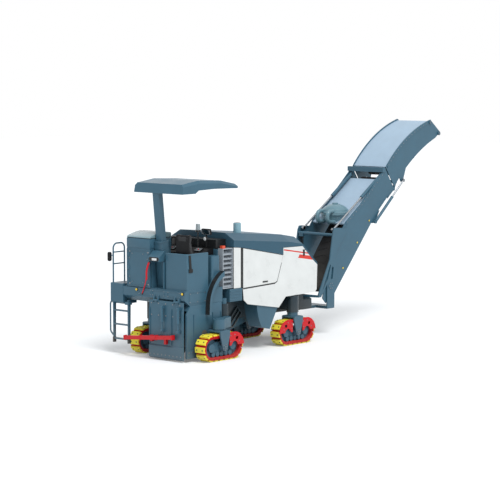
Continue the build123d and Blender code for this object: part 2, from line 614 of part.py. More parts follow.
# Side panels and the flap over the engine, mirrored left and right
door_outline = [(-2905, 2268), (-1590, 2022), (-1645, 1860), (-1790, 1475), (-1850, 1445),
                (-2905, 1415)]
panel_outline = [(HOOD_REAR, 1430), (-2922, 1430), (-2890, 1150), (-2760, 1050), (-1730, 880),
                 (-1490, 1100), (-480, 1110), (-420, 1170), (HOOD_FRONT, 1725), (-595, 1876),
                 (-915, 2174), (-1574, 2184), (-1574, 2028), (-2921, 2279), (HOOD_REAR, 2306)]
LIP = 20
LATCH_X = -2190
LATCH_Z = 1492
LATCH_OUT = 9
for corner, y, inward in (("right", -BODY_HALF + PANEL, 1), ("left", BODY_HALF, -1)):
    with BuildPart() as panel:
        with BuildSketch(side(y)):
            with BuildLine():
                Polyline(*panel_outline, close=True)
            make_face()
        extrude(amount=PANEL)
        inner_y = y if inward > 0 else y - PANEL
        with BuildSketch(side(inner_y + (LIP if inward > 0 else 0))):
            with BuildLine():
                Polyline(*door_outline, close=True)
            make_face()
            offset(amount=SEAM + LIP, kind=Kind.INTERSECTION)
        extrude(amount=LIP)
        with BuildSketch(side(BODY_HALF + 50)):
            with BuildLine():
                Polyline(*door_outline, close=True)
            make_face()
            offset(amount=-LIP, kind=Kind.INTERSECTION)
        extrude(amount=2 * BODY_HALF + 100, mode=Mode.SUBTRACT)
        with BuildSketch(side(y)):
            with BuildLine():
                Polyline(*door_outline, close=True)
            make_face()
            offset(amount=SEAM, kind=Kind.INTERSECTION)
        extrude(amount=PANEL, mode=Mode.SUBTRACT)
    keep(panel, "side_panel_" + corner)
    flap_y = y - SEAT_GAP if inward > 0 else y
    with BuildPart() as flap:
        with BuildSketch(side(flap_y)):
            with BuildLine():
                Polyline(*door_outline, close=True)
            make_face()
        extrude(amount=PANEL - SEAT_GAP)
        with Locations((LATCH_X, -inward * BODY_HALF, LATCH_Z)):
            Box(170, 2 * LATCH_OUT, 30)
    keep(flap, "engine_flap_" + corner)

# Fender tanks below the side panels, with an arch behind for the swung-in track
TANK_IN = RAIL_OUTER
for corner, y in (("right", -TANK_IN), ("left", BODY_HALF - PANEL)):
    with BuildPart() as tank:
        with BuildSketch(side(y)):
            with BuildLine():
                Polyline((-2430, 1000), (-2430, 1045), (-1760, 1045), (-1740, 880), (-2000, 430),
                         (-2270, 500))
                ThreePointArc((-2270, 500), (-2375, 730), (-2430, 1000))
            make_face()
        extrude(amount=BODY_HALF - PANEL - TANK_IN)
    keep(tank, "tank_" + corner)

# Cooling stack behind the hood, with a louvred air box at each side
STACK_TOP = 2480
LOUVRE_BOTTOM = SERVICE_TOP + 20
LOUVRE_TOP = 2300
LOUVRE_DEPTH = 145
LOUVRE_OUT = BODY_HALF - 30
LOUVRE_IN = LOUVRE_OUT - LOUVRE_DEPTH
LOUVRE_PITCH = 98
stack_rear = PLATFORM_FRONT + WALL
stack_length = HOOD_REAR - stack_rear
with BuildPart() as cooling_stack:
    with Locations((stack_rear, 0, RAIL_TOP)):
        Box(stack_length, 2 * RAIL_OUTER, LOUVRE_BOTTOM - RAIL_TOP,
            align=(Align.MIN, Align.CENTER, Align.MIN))
    with Locations((stack_rear, 0, LOUVRE_BOTTOM)):
        Box(stack_length, 2 * LOUVRE_IN, LOUVRE_TOP - LOUVRE_BOTTOM,
            align=(Align.MIN, Align.CENTER, Align.MIN))
    with Locations((stack_rear, 0, LOUVRE_TOP)):
        Box(stack_length, 2 * (LOUVRE_IN - 60), STACK_TOP - LOUVRE_TOP,
            align=(Align.MIN, Align.CENTER, Align.MIN))
    for y in (-LOUVRE_IN, LOUVRE_OUT):
        with BuildSketch(side(y)):
            with Locations((stack_rear + stack_length / 2, (LOUVRE_BOTTOM + LOUVRE_TOP) / 2)):
                Rectangle(stack_length, LOUVRE_TOP - LOUVRE_BOTTOM)
                Rectangle(stack_length - 40, LOUVRE_TOP - LOUVRE_BOTTOM - 40, mode=Mode.SUBTRACT)
        extrude(amount=LOUVRE_OUT - LOUVRE_IN)
    for n in range(int((LOUVRE_TOP - LOUVRE_BOTTOM - 60) / LOUVRE_PITCH)):
        for end in (-1, 1):
            spot = (stack_rear + stack_length / 2, end * (LOUVRE_IN + LOUVRE_OUT) / 2,
                    LOUVRE_BOTTOM + 70 + n * LOUVRE_PITCH)
            with Locations(Location(spot, (-end * 35, 0, 0))):
                Box(stack_length - 20, LOUVRE_OUT - LOUVRE_IN, 10)
keep(cooling_stack, "cooling_stack")

# Ribbed service boxes under the rear panels
BOX_RIB = 7
with BuildPart() as service_boxes:
    for y in (-BODY_HALF, SERVICE_IN):
        with Locations((-3345, y, 1150)):
            Box(400, BODY_HALF - SERVICE_IN, SERVICE_TOP - 1150, align=(Align.MIN, Align.MIN, Align.MIN))
        for n in range(4):
            with Locations((-3145, -BODY_HALF if y < 0 else BODY_HALF, 1185 + n * 62)):
                Box(360, 2 * BOX_RIB, 20)
keep(service_boxes, "service_boxes")

# Operator's platform: floor, railed walls, corner locker, rear channel and the front partition
WALL_OUT = BODY_HALF - 20
RAIL_R = 20
LOCKER_TOP = 2170
CABINET_LEFT = 775
CABINET_WIDTH = 680
MAST_FROM_CABINET = 120
MAST_Y = CABINET_LEFT - CABINET_WIDTH - MAST_FROM_CABINET
WALL_END = MAST_Y - 270
CHANNEL = (MAST_Y - 237, MAST_Y + 103)
platform_rear = HOUSING_REAR + 75
with BuildPart() as platform:
    with Locations((HOUSING_REAR + 35, 0, FLOOR_Z - 20)):
        Box(PLATFORM_FRONT - HOUSING_REAR - 35, 2 * (BODY_HALF - 15), 20,
            align=(Align.MIN, Align.CENTER, Align.MIN))
    with Locations((platform_rear, -WALL_OUT, FLOOR_Z)):
        Box(660, WALL, WALL_TOP - FLOOR_Z, align=(Align.MIN, Align.MIN, Align.MIN))
        Box(WALL, WALL_OUT + WALL_END, WALL_TOP - FLOOR_Z, align=(Align.MIN, Align.MIN, Align.MIN))
    add(tube(((platform_rear + 655, WALL / 2 - WALL_OUT, WALL_TOP),
              (platform_rear + WALL / 2, WALL / 2 - WALL_OUT, WALL_TOP),
              (platform_rear + WALL / 2, WALL_END - 5, WALL_TOP)), RAIL_R, 45))
    with BuildSketch(Plane.XY.offset(FLOOR_Z)):
        with Locations((-3755, 105 - WALL_OUT)):
            RectangleRounded(250, 210, 45)
    extrude(amount=LOCKER_TOP - FLOOR_Z)
    for y in CHANNEL:
        with Locations((HOUSING_REAR + 35, y, FLOOR_Z)):
            Box(110, 14, 560, align=(Align.MIN, Align.CENTER, Align.MIN))
    with Locations((PLATFORM_FRONT, 0, FLOOR_Z - 20)):
        Box(WALL, 1480, WALL_TOP + 60 - FLOOR_Z, align=(Align.MIN, Align.CENTER, Align.MIN))
keep(platform, "platform")

# Tall cabinet left of the mast with its sloping lid
CABINET_REAR = HOUSING_REAR - 5
LID = 10
with BuildPart() as cabinet:
    with BuildSketch(side(CABINET_LEFT - LID)):
        with BuildLine():
            Polyline((CABINET_REAR + LID, FLOOR_Z), (-4090, FLOOR_Z), (-4090, 2478), (-4425, 2498),
                     (CABINET_REAR + LID, 2366), close=True)
        make_face()
    extrude(amount=CABINET_WIDTH - 2 * LID)
    with BuildSketch(side(CABINET_LEFT)):
        with BuildLine():
            Polyline((CABINET_REAR, 2340), (CABINET_REAR, 2378), (-4428, 2520), (-4080, 2500),
                     (-4080, 2462), (-4425, 2480), close=True)
        make_face()
    extrude(amount=CABINET_WIDTH)
    with BuildSketch(Plane((CABINET_REAR + LID, CABINET_LEFT - CABINET_WIDTH / 2, 1900),
                           x_dir=(0, -1, 0), z_dir=(-1, 0, 0))):
        RectangleRounded(CABINET_WIDTH - 70, 740, 18)
        RectangleRounded(CABINET_WIDTH - 70 - 2 * FRAME_LINE, 740 - 2 * FRAME_LINE, 10, mode=Mode.SUBTRACT)
    extrude(amount=6)
keep(cabinet, "cabinet")

# Canopy on its leaning mast, which slides in the mast guide
MAST_X = -4489
MAST_LEAN = 6
MAST_DEPTH = 130
MAST_WIDTH = 170
MAST_IN = 290
GUIDE_WALL = 28
CANOPY_Z = 3504
CANOPY_LEFT = 590
CANOPY_WIDTH = 1400
CANOPY_SKIN = 14
COWL_OUT = 60
mast_plane = Plane((MAST_X, MAST_Y, WALL_TOP), x_dir=(0, 1, 0),
                   z_dir=(-sin(MAST_LEAN * pi / 180), 0, cos(MAST_LEAN * pi / 180)))
with BuildPart() as mast_guide:
    with BuildSketch(mast_plane.offset(-900)):
        Rectangle(MAST_WIDTH + 2 * GUIDE_WALL, MAST_DEPTH + 2 * GUIDE_WALL)
        Rectangle(MAST_WIDTH + 2 * RUN_GAP, MAST_DEPTH + 2 * RUN_GAP, mode=Mode.SUBTRACT)
    extrude(amount=1150)
    with BuildSketch(mast_plane.offset(222)):
        Rectangle(MAST_WIDTH + 2 * GUIDE_WALL + 12, MAST_DEPTH + 2 * GUIDE_WALL + 36)
        Rectangle(MAST_WIDTH + 2 * RUN_GAP, MAST_DEPTH + 2 * RUN_GAP, mode=Mode.SUBTRACT)
    extrude(amount=28)
    with BuildSketch(side(MAST_Y + 110)):
        with BuildLine():
            Polyline((HOUSING_REAR - COWL_OUT, 2080), (-4560, 2080), (-4560, 2290), (-4640, 2290),
                     (HOUSING_REAR - COWL_OUT, 2170), close=True)
        make_face()
    extrude(amount=320)
    with Locations((MAST_X, MAST_Y, FLOOR_Z)):
        Box(600, 600, 600, align=(Align.CENTER, Align.CENTER, Align.MAX), mode=Mode.SUBTRACT)
keep(mast_guide, "mast_guide")

with BuildPart() as canopy_mast:
    with BuildSketch(mast_plane.offset(-MAST_IN)):
        Rectangle(MAST_WIDTH, MAST_DEPTH)
    extrude(amount=1900)
    with Locations((MAST_X, MAST_Y, CANOPY_Z)):
        Box(900, 600, 600, align=(Align.CENTER, Align.CENTER, Align.MIN), mode=Mode.SUBTRACT)
keep(canopy_mast, "canopy_mast")

canopy_outline = ((-4700, CANOPY_Z), (-4290, CANOPY_Z), (-4190, CANOPY_Z + 62), (-3700, CANOPY_Z + 74),
                  (-2975, CANOPY_Z + 56), (-2945, CANOPY_Z + 96), (-3000, CANOPY_Z + 150),
                  (-3450, CANOPY_Z + 238), (-4150, CANOPY_Z + 268), (-4655, CANOPY_Z + 205))
canopy_right = CANOPY_LEFT - CANOPY_WIDTH
canopy_top = MAST_X - (CANOPY_Z - WALL_TOP) * sin(MAST_LEAN * pi / 180)
with BuildPart() as canopy_form:
    with BuildSketch(side(CANOPY_LEFT)):
        with BuildLine():
            Polyline(*canopy_outline, close=True)
        make_face()
    extrude(amount=CANOPY_WIDTH)
    crown = [e for e in canopy_form.edges().filter_by(lambda e: abs((e @ 0).Y - (e @ 1).Y) < 1)
             if min((e @ 0).Z, (e @ 1).Z) > CANOPY_Z + 120]
    chamfer(crown, length=58)
with BuildPart() as canopy:
    add(canopy_form.part)
    below = [f for f in canopy.faces() if f.normal_at().Z < -0.7]
    offset(amount=-CANOPY_SKIN, openings=below)
    with BuildPart(mode=Mode.PRIVATE) as boss:
        add(canopy_form.part)
        with Locations((canopy_top, MAST_Y, CANOPY_Z)):
            Box(150, 330, 600, align=(Align.CENTER, Align.CENTER, Align.MIN), mode=Mode.INTERSECT)
    add(boss.part)
    for y in (canopy_right + 170, canopy_right + CANOPY_WIDTH / 2 - 30, CANOPY_LEFT - 230):
        with BuildPart(mode=Mode.PRIVATE) as bow:
            add(canopy_form.part)
            with Locations((-3700, y, CANOPY_Z + 150)):
                Box(1900, 26, 400, align=(Align.CENTER, Align.CENTER, Align.MIN), mode=Mode.INTERSECT)
        add(bow.part)
keep(canopy, "canopy")

# Boarding ladder at the rear left: step box, tube stringers, rungs, hand rails and mirror arm
STEP_BOX_OUT = 1270
LADDER_IN = 765
LADDER_OUT = 1205
LADDER_FOOT = 290
TUBE_R = 17
ladder_x = HOUSING_REAR + 45
with BuildPart() as ladder:
    with BuildSketch(side(STEP_BOX_OUT)):
        with BuildLine():
            Polyline((HOUSING_REAR - 5, 1130), (HOUSING_REAR + 60, 1085), (HOUSING_REAR + 415, 1085),
                     (HOUSING_REAR + 415, 1530), (HOUSING_REAR - 5, 1530), close=True)
        make_face()
    extrude(amount=STEP_BOX_OUT - BODY_HALF + 15)
    for y in (LADDER_IN, LADDER_OUT):
        with BuildSketch(side(y + 18)):
            with BuildLine():
                Polyline((ladder_x - 30, LADDER_FOOT), (ladder_x + 20, LADDER_FOOT), (ladder_x + 34, 1180),
                         (ladder_x - 34, 1180), close=True)
            make_face()
        extrude(amount=36)
        with Locations((ladder_x - 5, y, LADDER_FOOT - 45)):
            Box(60, 46, 110, align=(Align.CENTER, Align.CENTER, Align.MIN))
    for z in (LADDER_FOOT + 40, 640, 940):
        with Locations((ladder_x, (LADDER_IN + LADDER_OUT) / 2, z)):
            Box(76, LADDER_OUT - LADDER_IN, 28)
    with Locations((ladder_x, LADDER_IN + 20, 1110)):
        Box(110, 110, 60)
    add(tube(((ladder_x, LADDER_OUT, 360), (ladder_x, 1330, 470), (ladder_x, 1330, 1080),
              (ladder_x, 1230, 1200)), TUBE_R, 90))
    for y in (800, 1230):
        add(tube(((HOUSING_REAR + 40, y, 1500), (HOUSING_REAR + 40, y, 2370), (HOUSING_REAR + 380, y, 2370),
                  (HOUSING_REAR + 380, y, 1500)), TUBE_R, 110))
    for z in (1930, 2180):
        add(tube(((HOUSING_REAR + 40, 1230, z), (HOUSING_REAR + 380, 1230, z)), TUBE_R - 3))
    add(tube(((HOUSING_REAR + 40, 1230, 2110), (HOUSING_REAR + 40, 1290, 2110)), 11))
keep(ladder, "ladder")

# Side mirror on the hand rail
with BuildPart() as mirror:
    with BuildSketch(Plane.YZ.offset(HOUSING_REAR + 15)):
        with Locations((1290 + 46, 2080)):
            RectangleRounded(92, 200, 40)
    extrude(amount=48)
    fillet(mirror.faces().sort_by(Axis.X)[-1].edges(), radius=16)
keep(mirror, "mirror")

# Operator's seat on its pedestal, beside the wall
SEAT_Y = 290 - BODY_HALF
SEAT_WIDTH = 430
SEAT_BACK_X = -4520
with BuildPart() as seat:
    with BuildSketch(side(SEAT_Y + SEAT_WIDTH / 2)):
        with BuildLine():
            Polyline((SEAT_BACK_X + 60, 1930), (SEAT_BACK_X + 560, 1930), (SEAT_BACK_X + 580, 2060),
                     (SEAT_BACK_X + 190, 2040), (SEAT_BACK_X + 120, 2690), (SEAT_BACK_X, 2690),
                     (SEAT_BACK_X + 20, 2000), close=True)
        make_face()
    extrude(amount=SEAT_WIDTH)
    with Locations((SEAT_BACK_X + 330, SEAT_Y, FLOOR_Z)):
        Box(300, 260, 430, align=(Align.CENTER, Align.CENTER, Align.MIN))
keep(seat, "seat")

# Operator's console across the front partition: sloped desk, display on a post and grab bar
CONSOLE_DEPTH = 300
CONSOLE_HALF = BODY_HALF - 275
DISPLAY_Y = 140 - CONSOLE_HALF
KEYS_Y = CONSOLE_HALF - 260
BAR_Y = CONSOLE_HALF - 80
with BuildPart() as console:
    with BuildSketch(side(CONSOLE_HALF)):
        with BuildLine():
            Polyline((PLATFORM_FRONT, 2050), (PLATFORM_FRONT, 2300), (PLATFORM_FRONT - 90, 2300),
                     (PLATFORM_FRONT - CONSOLE_DEPTH, 2190), (PLATFORM_FRONT - CONSOLE_DEPTH, 2130),
                     close=True)
        make_face()
    extrude(amount=2 * CONSOLE_HALF)
    for y in (-KEYS_Y, 0, KEYS_Y):
        with Locations(Location((PLATFORM_FRONT - 175, y, 2252), (0, -28, 0))):
            Box(120, 190, 40)
    for y in (-KEYS_Y / 2, KEYS_Y / 2):
        with Locations((PLATFORM_FRONT - 215, y, 2200)):
            Cylinder(11, 150, align=(Align.CENTER, Align.CENTER, Align.MIN))
        with Locations((PLATFORM_FRONT - 215, y, 2350)):
            Sphere(26)
    with Locations((PLATFORM_FRONT - 60, DISPLAY_Y, 2290)):
        Cylinder(16, 330, align=(Align.CENTER, Align.CENTER, Align.MIN))
    with Locations(Location((PLATFORM_FRONT - 60, DISPLAY_Y, 2650), (0, -12, 0))):
        Box(50, 240, 120)
    add(tube(((PLATFORM_FRONT - 40, BAR_Y, 2290), (PLATFORM_FRONT - 40, BAR_Y, 2480),
              (PLATFORM_FRONT - 40, 60, 2480), (PLATFORM_FRONT - 40, 60, 2290)), TUBE_R, 70))
keep(console, "console")

# Warning beacon on its post, and the lamps of the rear and the platform
BEACON_Y = 400 - CONSOLE_HALF
LAMP_R = 34
with BuildPart() as beacon:
    with Locations((PLATFORM_FRONT - 45, BEACON_Y, 0)):
        with Locations((0, 0, 2300)):
            Cylinder(14, 350, align=(Align.CENTER, Align.CENTER, Align.MIN))
        with Locations((0, 0, 2634)):
            Cylinder(58, 36, align=(Align.CENTER, Align.CENTER, Align.MIN))
        with Locations((0, 0, 2670)):
            Cone(52, 44, 130, align=(Align.CENTER, Align.CENTER, Align.MIN))
keep(beacon, "beacon")

with BuildPart() as lamps:
    for y in (480, -850):
        with BuildSketch(Plane((HOUSING_REAR, y, FLOOR_Z - 60), z_dir=(-1, 0, 0))):
            Circle(LAMP_R)
        extrude(amount=24, taper=12)
    with BuildSketch(Plane((HOUSING_REAR - COWL_OUT, MAST_Y - 75, 2122), x_dir=(0, -1, 0), z_dir=(-1, 0, 0))):
        SlotOverall(150, 62)
    extrude(amount=16, taper=10)
    with Locations(Location((PLATFORM_FRONT - 76, DISPLAY_Y, 2500), (0, -90, 0))):
        Cylinder(46, 40, align=(Align.CENTER, Align.CENTER, Align.MIN))
    with Locations((stack_rear + 60, -LOUVRE_OUT + 60, LOUVRE_TOP)):
        Box(90, 70, 60, align=(Align.CENTER, Align.CENTER, Align.MIN))
keep(lamps, "lamps")

# Exhaust stub with a rolled rim
with BuildPart() as exhaust:
    with BuildSketch(Plane.XZ):
        with BuildLine():
            top_arc = ThreePointArc((EXHAUST_R - 12, 2770), (EXHAUST_R - 3, 2765), (EXHAUST_R, 2752))
            Polyline(top_arc @ 1, (EXHAUST_R, 2400), (0, 2400), (0, 2700), (EXHAUST_R - 12, 2700),
                     top_arc @ 0)
        make_face()
    revolve(axis=Axis.Z)
exhaust_pipe = exhaust.part
with BuildPart() as exhaust:
    with Locations((EXHAUST_X, EXHAUST_Y, 0)):
        add(exhaust_pipe)
keep(exhaust, "exhaust")

# Red crash bar on the scraper, slightly lower at the right end
BAR_LEAN = -5
BAR_Z = 460
BAR_Y = 40
with BuildPart() as rear_bar:
    with Locations(Location((HOUSING_REAR - 100, BAR_Y, BAR_Z), (BAR_LEAN, 0, 0))):
        Box(80, 1440, 80)
        for y in (-700, -230, 240, 700):
            with Locations((0, y, 0)):
                Box(92, 16, 104)
    for y in (-420, -20):
        with Locations((SCRAPER_HINGE_X, y, BAR_Z + (y - BAR_Y) * sin(-BAR_LEAN * pi / 180))):
            Box(60, 60, 130, align=(Align.MAX, Align.CENTER, Align.CENTER))
keep(rear_bar, "rear_bar")

# Slewing yoke: cradle and top plate on the king pin, side plates, struts and mast heads
YOKE_IN = TROUGH_HALF + YOKE_GAP
YOKE_OUT = YOKE_IN + YOKE_PLATE
CRADLE = 60
BRIDGE_GAP = 6
BRIDGE = 40
ANCHOR_X = 750
ANCHOR_Z = 2400
ROD_Y = TROUGH_HALF - 62
ROD_LUG_R = 32
ROD_BOSS_R = 42
ROD_BOSS = 52
HOSE_R = 15
HOSE_X = 140
HOSE_Y = (TROUGH_HALF - 106, TROUGH_HALF - 58)
MANIFOLD_Z = ANCHOR_Z - 190
bridge_z = NOSE_TOP + BRIDGE_GAP
with BuildPart() as yoke:
    with BuildSketch(Plane.XY.offset(NOSE_BOTTOM - SEAT_GAP - CRADLE)):
        with Locations((SLEW_X, 0)):
            Circle(200)
            Rectangle(660, 400, align=(Align.MIN, Align.CENTER))
        with Locations((430, 0)):
            Rectangle(260, 2 * YOKE_OUT, align=(Align.MIN, Align.CENTER))
    extrude(amount=CRADLE)
    with Locations((SLEW_X, 0, NOSE_BOTTOM - CRADLE)):
        Cylinder(KING_PIN_R, bridge_z + BRIDGE + CRADLE - NOSE_BOTTOM,
                 align=(Align.CENTER, Align.CENTER, Align.MIN))
    with BuildSketch(Plane.XY.offset(bridge_z)):
        with Locations((SLEW_X, 0)):
            Circle(170)
        with BuildLine():
            Polyline((-10, -170), (120, -YOKE_OUT), (210, -YOKE_OUT), (190, -170), (190, 170),
                     (210, YOKE_OUT), (120, YOKE_OUT), (-10, 170), close=True)
        make_face()
    extrude(amount=BRIDGE)
    for y in (YOKE_OUT, -YOKE_IN):
        with BuildSketch(side(y)):
            with BuildLine():
                Polyline((430, NOSE_BOTTOM - CRADLE), (690, NOSE_BOTTOM - CRADLE), (700, 1200),
                         (790, 1935), (1180, ANCHOR_Z - 20), (1200, ANCHOR_Z + 10),
                         (ANCHOR_X + 40, ANCHOR_Z + 50), (ANCHOR_X - 60, ANCHOR_Z + 50),
                         (ANCHOR_X - 110, ANCHOR_Z - 40), (520, 1720),
                         (120, bridge_z + BRIDGE + 40), (120, bridge_z), (210, bridge_z), (430, 1180),
                         close=True)
            make_face()
            with BuildLine():
                Polyline((250, bridge_z + 130), (455, 1290), (560, 1600), (540, 1630), close=True)
            make_face(mode=Mode.SUBTRACT)
            with Locations((610, 1420)):
                SlotCenterPoint((0, 0), (18, 110), 70, mode=Mode.SUBTRACT)
        extrude(amount=YOKE_PLATE)
    with Locations(Location((ANCHOR_X - 80, 0, ANCHOR_Z - 110), (90, 0, 0))):
        Cylinder(36, 2 * YOKE_OUT)
    with Locations((ANCHOR_X - 80, sum(HOSE_Y) / 2, MANIFOLD_Z)):
        Box(90, 110, ANCHOR_Z - 110 - MANIFOLD_Z, align=(Align.CENTER, Align.CENTER, Align.MIN))
    for y in (-1, 1):
        lug = (ROD_Y + ROD_BOSS / 2 + SEAT_GAP, YOKE_IN)
        with Locations(Location((ANCHOR_X, y * (lug[0] + lug[1]) / 2, ANCHOR_Z), (90, 0, 0))):
            Cylinder(ROD_LUG_R, lug[1] - lug[0])
        with Locations(Location((PIVOT_X, y * (YOKE_OUT + 4), PIVOT_Z), (90, 0, 0))):
            Cylinder(PIVOT_R + 36, 8)
    with Locations(Location((PIVOT_X, 0, PIVOT_Z), (90, 0, 0))):
        Cylinder(PIVOT_R + RUN_GAP, 2000, mode=Mode.SUBTRACT)
keep(yoke, "slew_yoke")

# Hydraulic hoses from the yoke's bridge up to the mast heads, each ending in its fittings
HOSE_BEND = 160
hose_foot = bridge_z + BRIDGE
with BuildPart() as yoke_hoses:
    for y in HOSE_Y:
        add(tube(((HOSE_X, y, hose_foot), (HOSE_X, y, 1330), (ANCHOR_X - 80, y, 1990),
                  (ANCHOR_X - 80, y, MANIFOLD_Z)), HOSE_R, HOSE_BEND))
        for x, z, rise in ((HOSE_X, hose_foot, 0), (ANCHOR_X - 80, MANIFOLD_Z, -42)):
            with Locations((x, y, z + rise)):
                Cylinder(HOSE_R + 6, 42, align=(Align.CENTER, Align.CENTER, Align.MIN))
keep(yoke_hoses, "yoke_hoses")

# Lower section of the loading conveyor: side plates, cross tubes and trunnions
lower_edge = [(420, 740), (640, 830), (2290, 2680), (FOLD_X - 12, 3262)]
upper_edge = [(2640, 3740), (1700, 2950), (1140, 2560), (720, 2050), (500, 1560), (300, 860)]
CROSS_TUBE_R = 38
BELT_HALF = 300
BELT_THICK = 26
BELT_R = 105
PULLEY_R = BELT_R - BELT_THICK - SEAT_GAP
lower_run = ((610, 1060), (1700, 2450), (2790, 3400))
upper_run = ((3110, 3650), (3800, 4205), (4560, 4590))
LIFT_TOP_X = FOLD_X - 435
LIFT_TOP_Z = 3585
FOLD_Y = TROUGH_HALF + 52
FOLD_BOSS = 46
FOLD_BASE = (2200, 2500)
FOLD_EYE = (3290, 3430)
FOLD_R = 34
FOLD_ROD_R = 20
FOLD_LUG = FOLD_Y - FOLD_BOSS / 2 - SEAT_GAP - TROUGH_HALF
FOLD_LUG_Y = TROUGH_HALF + FOLD_LUG / 2
FOLD_LUG_R = 26
STRIP = 9
HINGE_R = 44
HINGE_PIN_R = 22
HINGE_EYE_R = 42
SIDE_LAMP_R = 26
side_lamps = ((1040, 1500), (1570, 2055), (2020, 2540))
with BuildPart() as lower_trough:
    for y in (TROUGH_HALF, TROUGH_WALL - TROUGH_HALF):
        with BuildSketch(side(y)):
            with BuildLine():
                Polyline(*(lower_edge + upper_edge), close=True)
            make_face()
        extrude(amount=TROUGH_WALL)
    for x, z in ((1300, 1630), (2230, 2672), (2870, 3230)):
        with Locations(Location((x, 0, z), (90, 0, 0))):
            Cylinder(CROSS_TUBE_R, 2 * TROUGH_HALF)
    for x, z in (lower_run[0], lower_run[-1]):
        with Locations(Location((x, 0, z), (90, 0, 0))):
            Cylinder(PULLEY_R, 2 * BELT_HALF + 40)
            Cylinder(CROSS_TUBE_R, 2 * TROUGH_HALF)
    for y in (-1, 1):
        with Locations(Location((PIVOT_X, y * (TROUGH_HALF - TROUGH_WALL), PIVOT_Z), (y * -90, 0, 0))):
            Cylinder(PIVOT_R, TROUGH_WALL + YOKE_GAP + YOKE_PLATE + 6,
                     align=(Align.CENTER, Align.CENTER, Align.MIN))
    with Locations((LIFT_TOP_X, 0, 3650)):
        Box(90, 2 * TROUGH_HALF + 60, 110, align=(Align.CENTER, Align.CENTER, Align.MIN))
    for y in (-1, 1):
        lug = (ROD_Y + ROD_BOSS / 2 + SEAT_GAP, TROUGH_HALF)
        with Locations(Location((LIFT_TOP_X, y * (lug[0] + lug[1]) / 2, LIFT_TOP_Z), (90, 0, 0))):
            Cylinder(ROD_LUG_R, lug[1] - lug[0])
        with BuildSketch(side(TROUGH_HALF if y > 0 else TROUGH_WALL - TROUGH_HALF)):
            with BuildLine():
                Polyline((FOLD_BASE[0] + 45, FOLD_BASE[1] - 30), (FOLD_BASE[0] + 230, FOLD_BASE[1] + 260),
                         (FOLD_BASE[0] - 120, FOLD_BASE[1] + 160), (FOLD_BASE[0] - 60, FOLD_BASE[1] - 30),
                         close=True)
            make_face()
        extrude(amount=TROUGH_WALL)
        with Locations(Location((FOLD_BASE[0], y * FOLD_LUG_Y, FOLD_BASE[1]), (90, 0, 0))):
            Cylinder(FOLD_LUG_R, FOLD_LUG)
    for y in (TROUGH_HALF + STRIP, -TROUGH_HALF):
        with BuildSketch(side(y)):
            with BuildLine():
                Polyline((2640, 3740), (1700, 2950), (1140, 2560), (1165, 2485), (1730, 2880), (2672, 3672),
                         close=True)
            make_face()
        extrude(amount=STRIP)
        with BuildSketch(side(y)):
            for x, z in side_lamps:
                with Locations((x, z)):
                    Circle(SIDE_LAMP_R)
        extrude(amount=STRIP)
    for y in (-1, 1):
        with BuildSketch(side(TROUGH_HALF if y > 0 else TROUGH_WALL - TROUGH_HALF)):
            with Locations((FOLD_X, FOLD_Z)):
                Circle(HINGE_R)
            with BuildLine():
                Polyline((FOLD_X - 12, 3262), (FOLD_X - 25, FOLD_Z - 38), (FOLD_X - 250, 3020),
                         (FOLD_X - 200, 3200), close=True)
            make_face()
        extrude(amount=TROUGH_WALL)
        with Locations(Location((FOLD_X, y * (TROUGH_HALF - 30), FOLD_Z), (90, 0, 0))):
            Cylinder(HINGE_PIN_R, 60)
keep(lower_trough, "lower_trough")

with BuildPart() as lower_belt:
    with BuildSketch(side(BELT_HALF)):
        for reach, mode in ((BELT_R, Mode.ADD), (BELT_R - BELT_THICK, Mode.SUBTRACT)):
            with BuildLine():
                ThreePointArc(*lower_run)
                offset(amount=reach, side=Side.BOTH, mode=Mode.REPLACE)
            make_face(mode=mode)
    extrude(amount=2 * BELT_HALF)
keep(lower_belt, "lower_belt")

with BuildPart() as lower_cover:
    with BuildSketch(side(TROUGH_HALF - TROUGH_WALL)):
        with BuildLine():
            Polyline((1150, 2490), (1700, 2860), (2500, 3450), (2500, 3480), (1694, 2890),
                     (1140, 2518), close=True)
        make_face()
    extrude(amount=2 * (TROUGH_HALF - TROUGH_WALL))
keep(lower_cover, "lower_cover")

# Dust extraction unit on the cover: fan drum with a domed lid and two ducts into the cover
DUST_X = 1375
DUST_R = 345
with BuildPart() as dust_drum:
    with BuildSketch(Plane.XZ):
        with BuildLine():
            Polyline((0, -160), (DUST_R - 60, -160), (DUST_R - 30, -20), (DUST_R, 0), (DUST_R, 60),
                     (DUST_R - 30, 75), (DUST_R - 45, 120))
            ThreePointArc((DUST_R - 45, 120), (DUST_R - 150, 205), (70, 240))
            Polyline((70, 240), (70, 268), (0, 268), (0, -160))
        make_face()
    revolve(axis=Axis.Z)
with BuildPart() as dust_unit:
    with Locations((DUST_X, 0, 2700)):
        add(dust_drum.part)
    for y in (-150, 150):
        add(tube(((DUST_X - 250, y, 2790), (DUST_X - 470, y, 2790), (DUST_X - 470, y, 2560),
                  (DUST_X - 200, y, 2540)), 48, 100))
    with BuildSketch(side(400)):
        with BuildLine():
            Polyline((1140, 2518), (1140, 2000), (2200, 2000), (2200, 3265), (1694, 2890), close=True)
        make_face()
    extrude(amount=800, mode=Mode.SUBTRACT)
    with Locations((1040, 0, 2300)):
        Box(200, 900, 400, mode=Mode.SUBTRACT)
keep(dust_unit, "dust_unit")

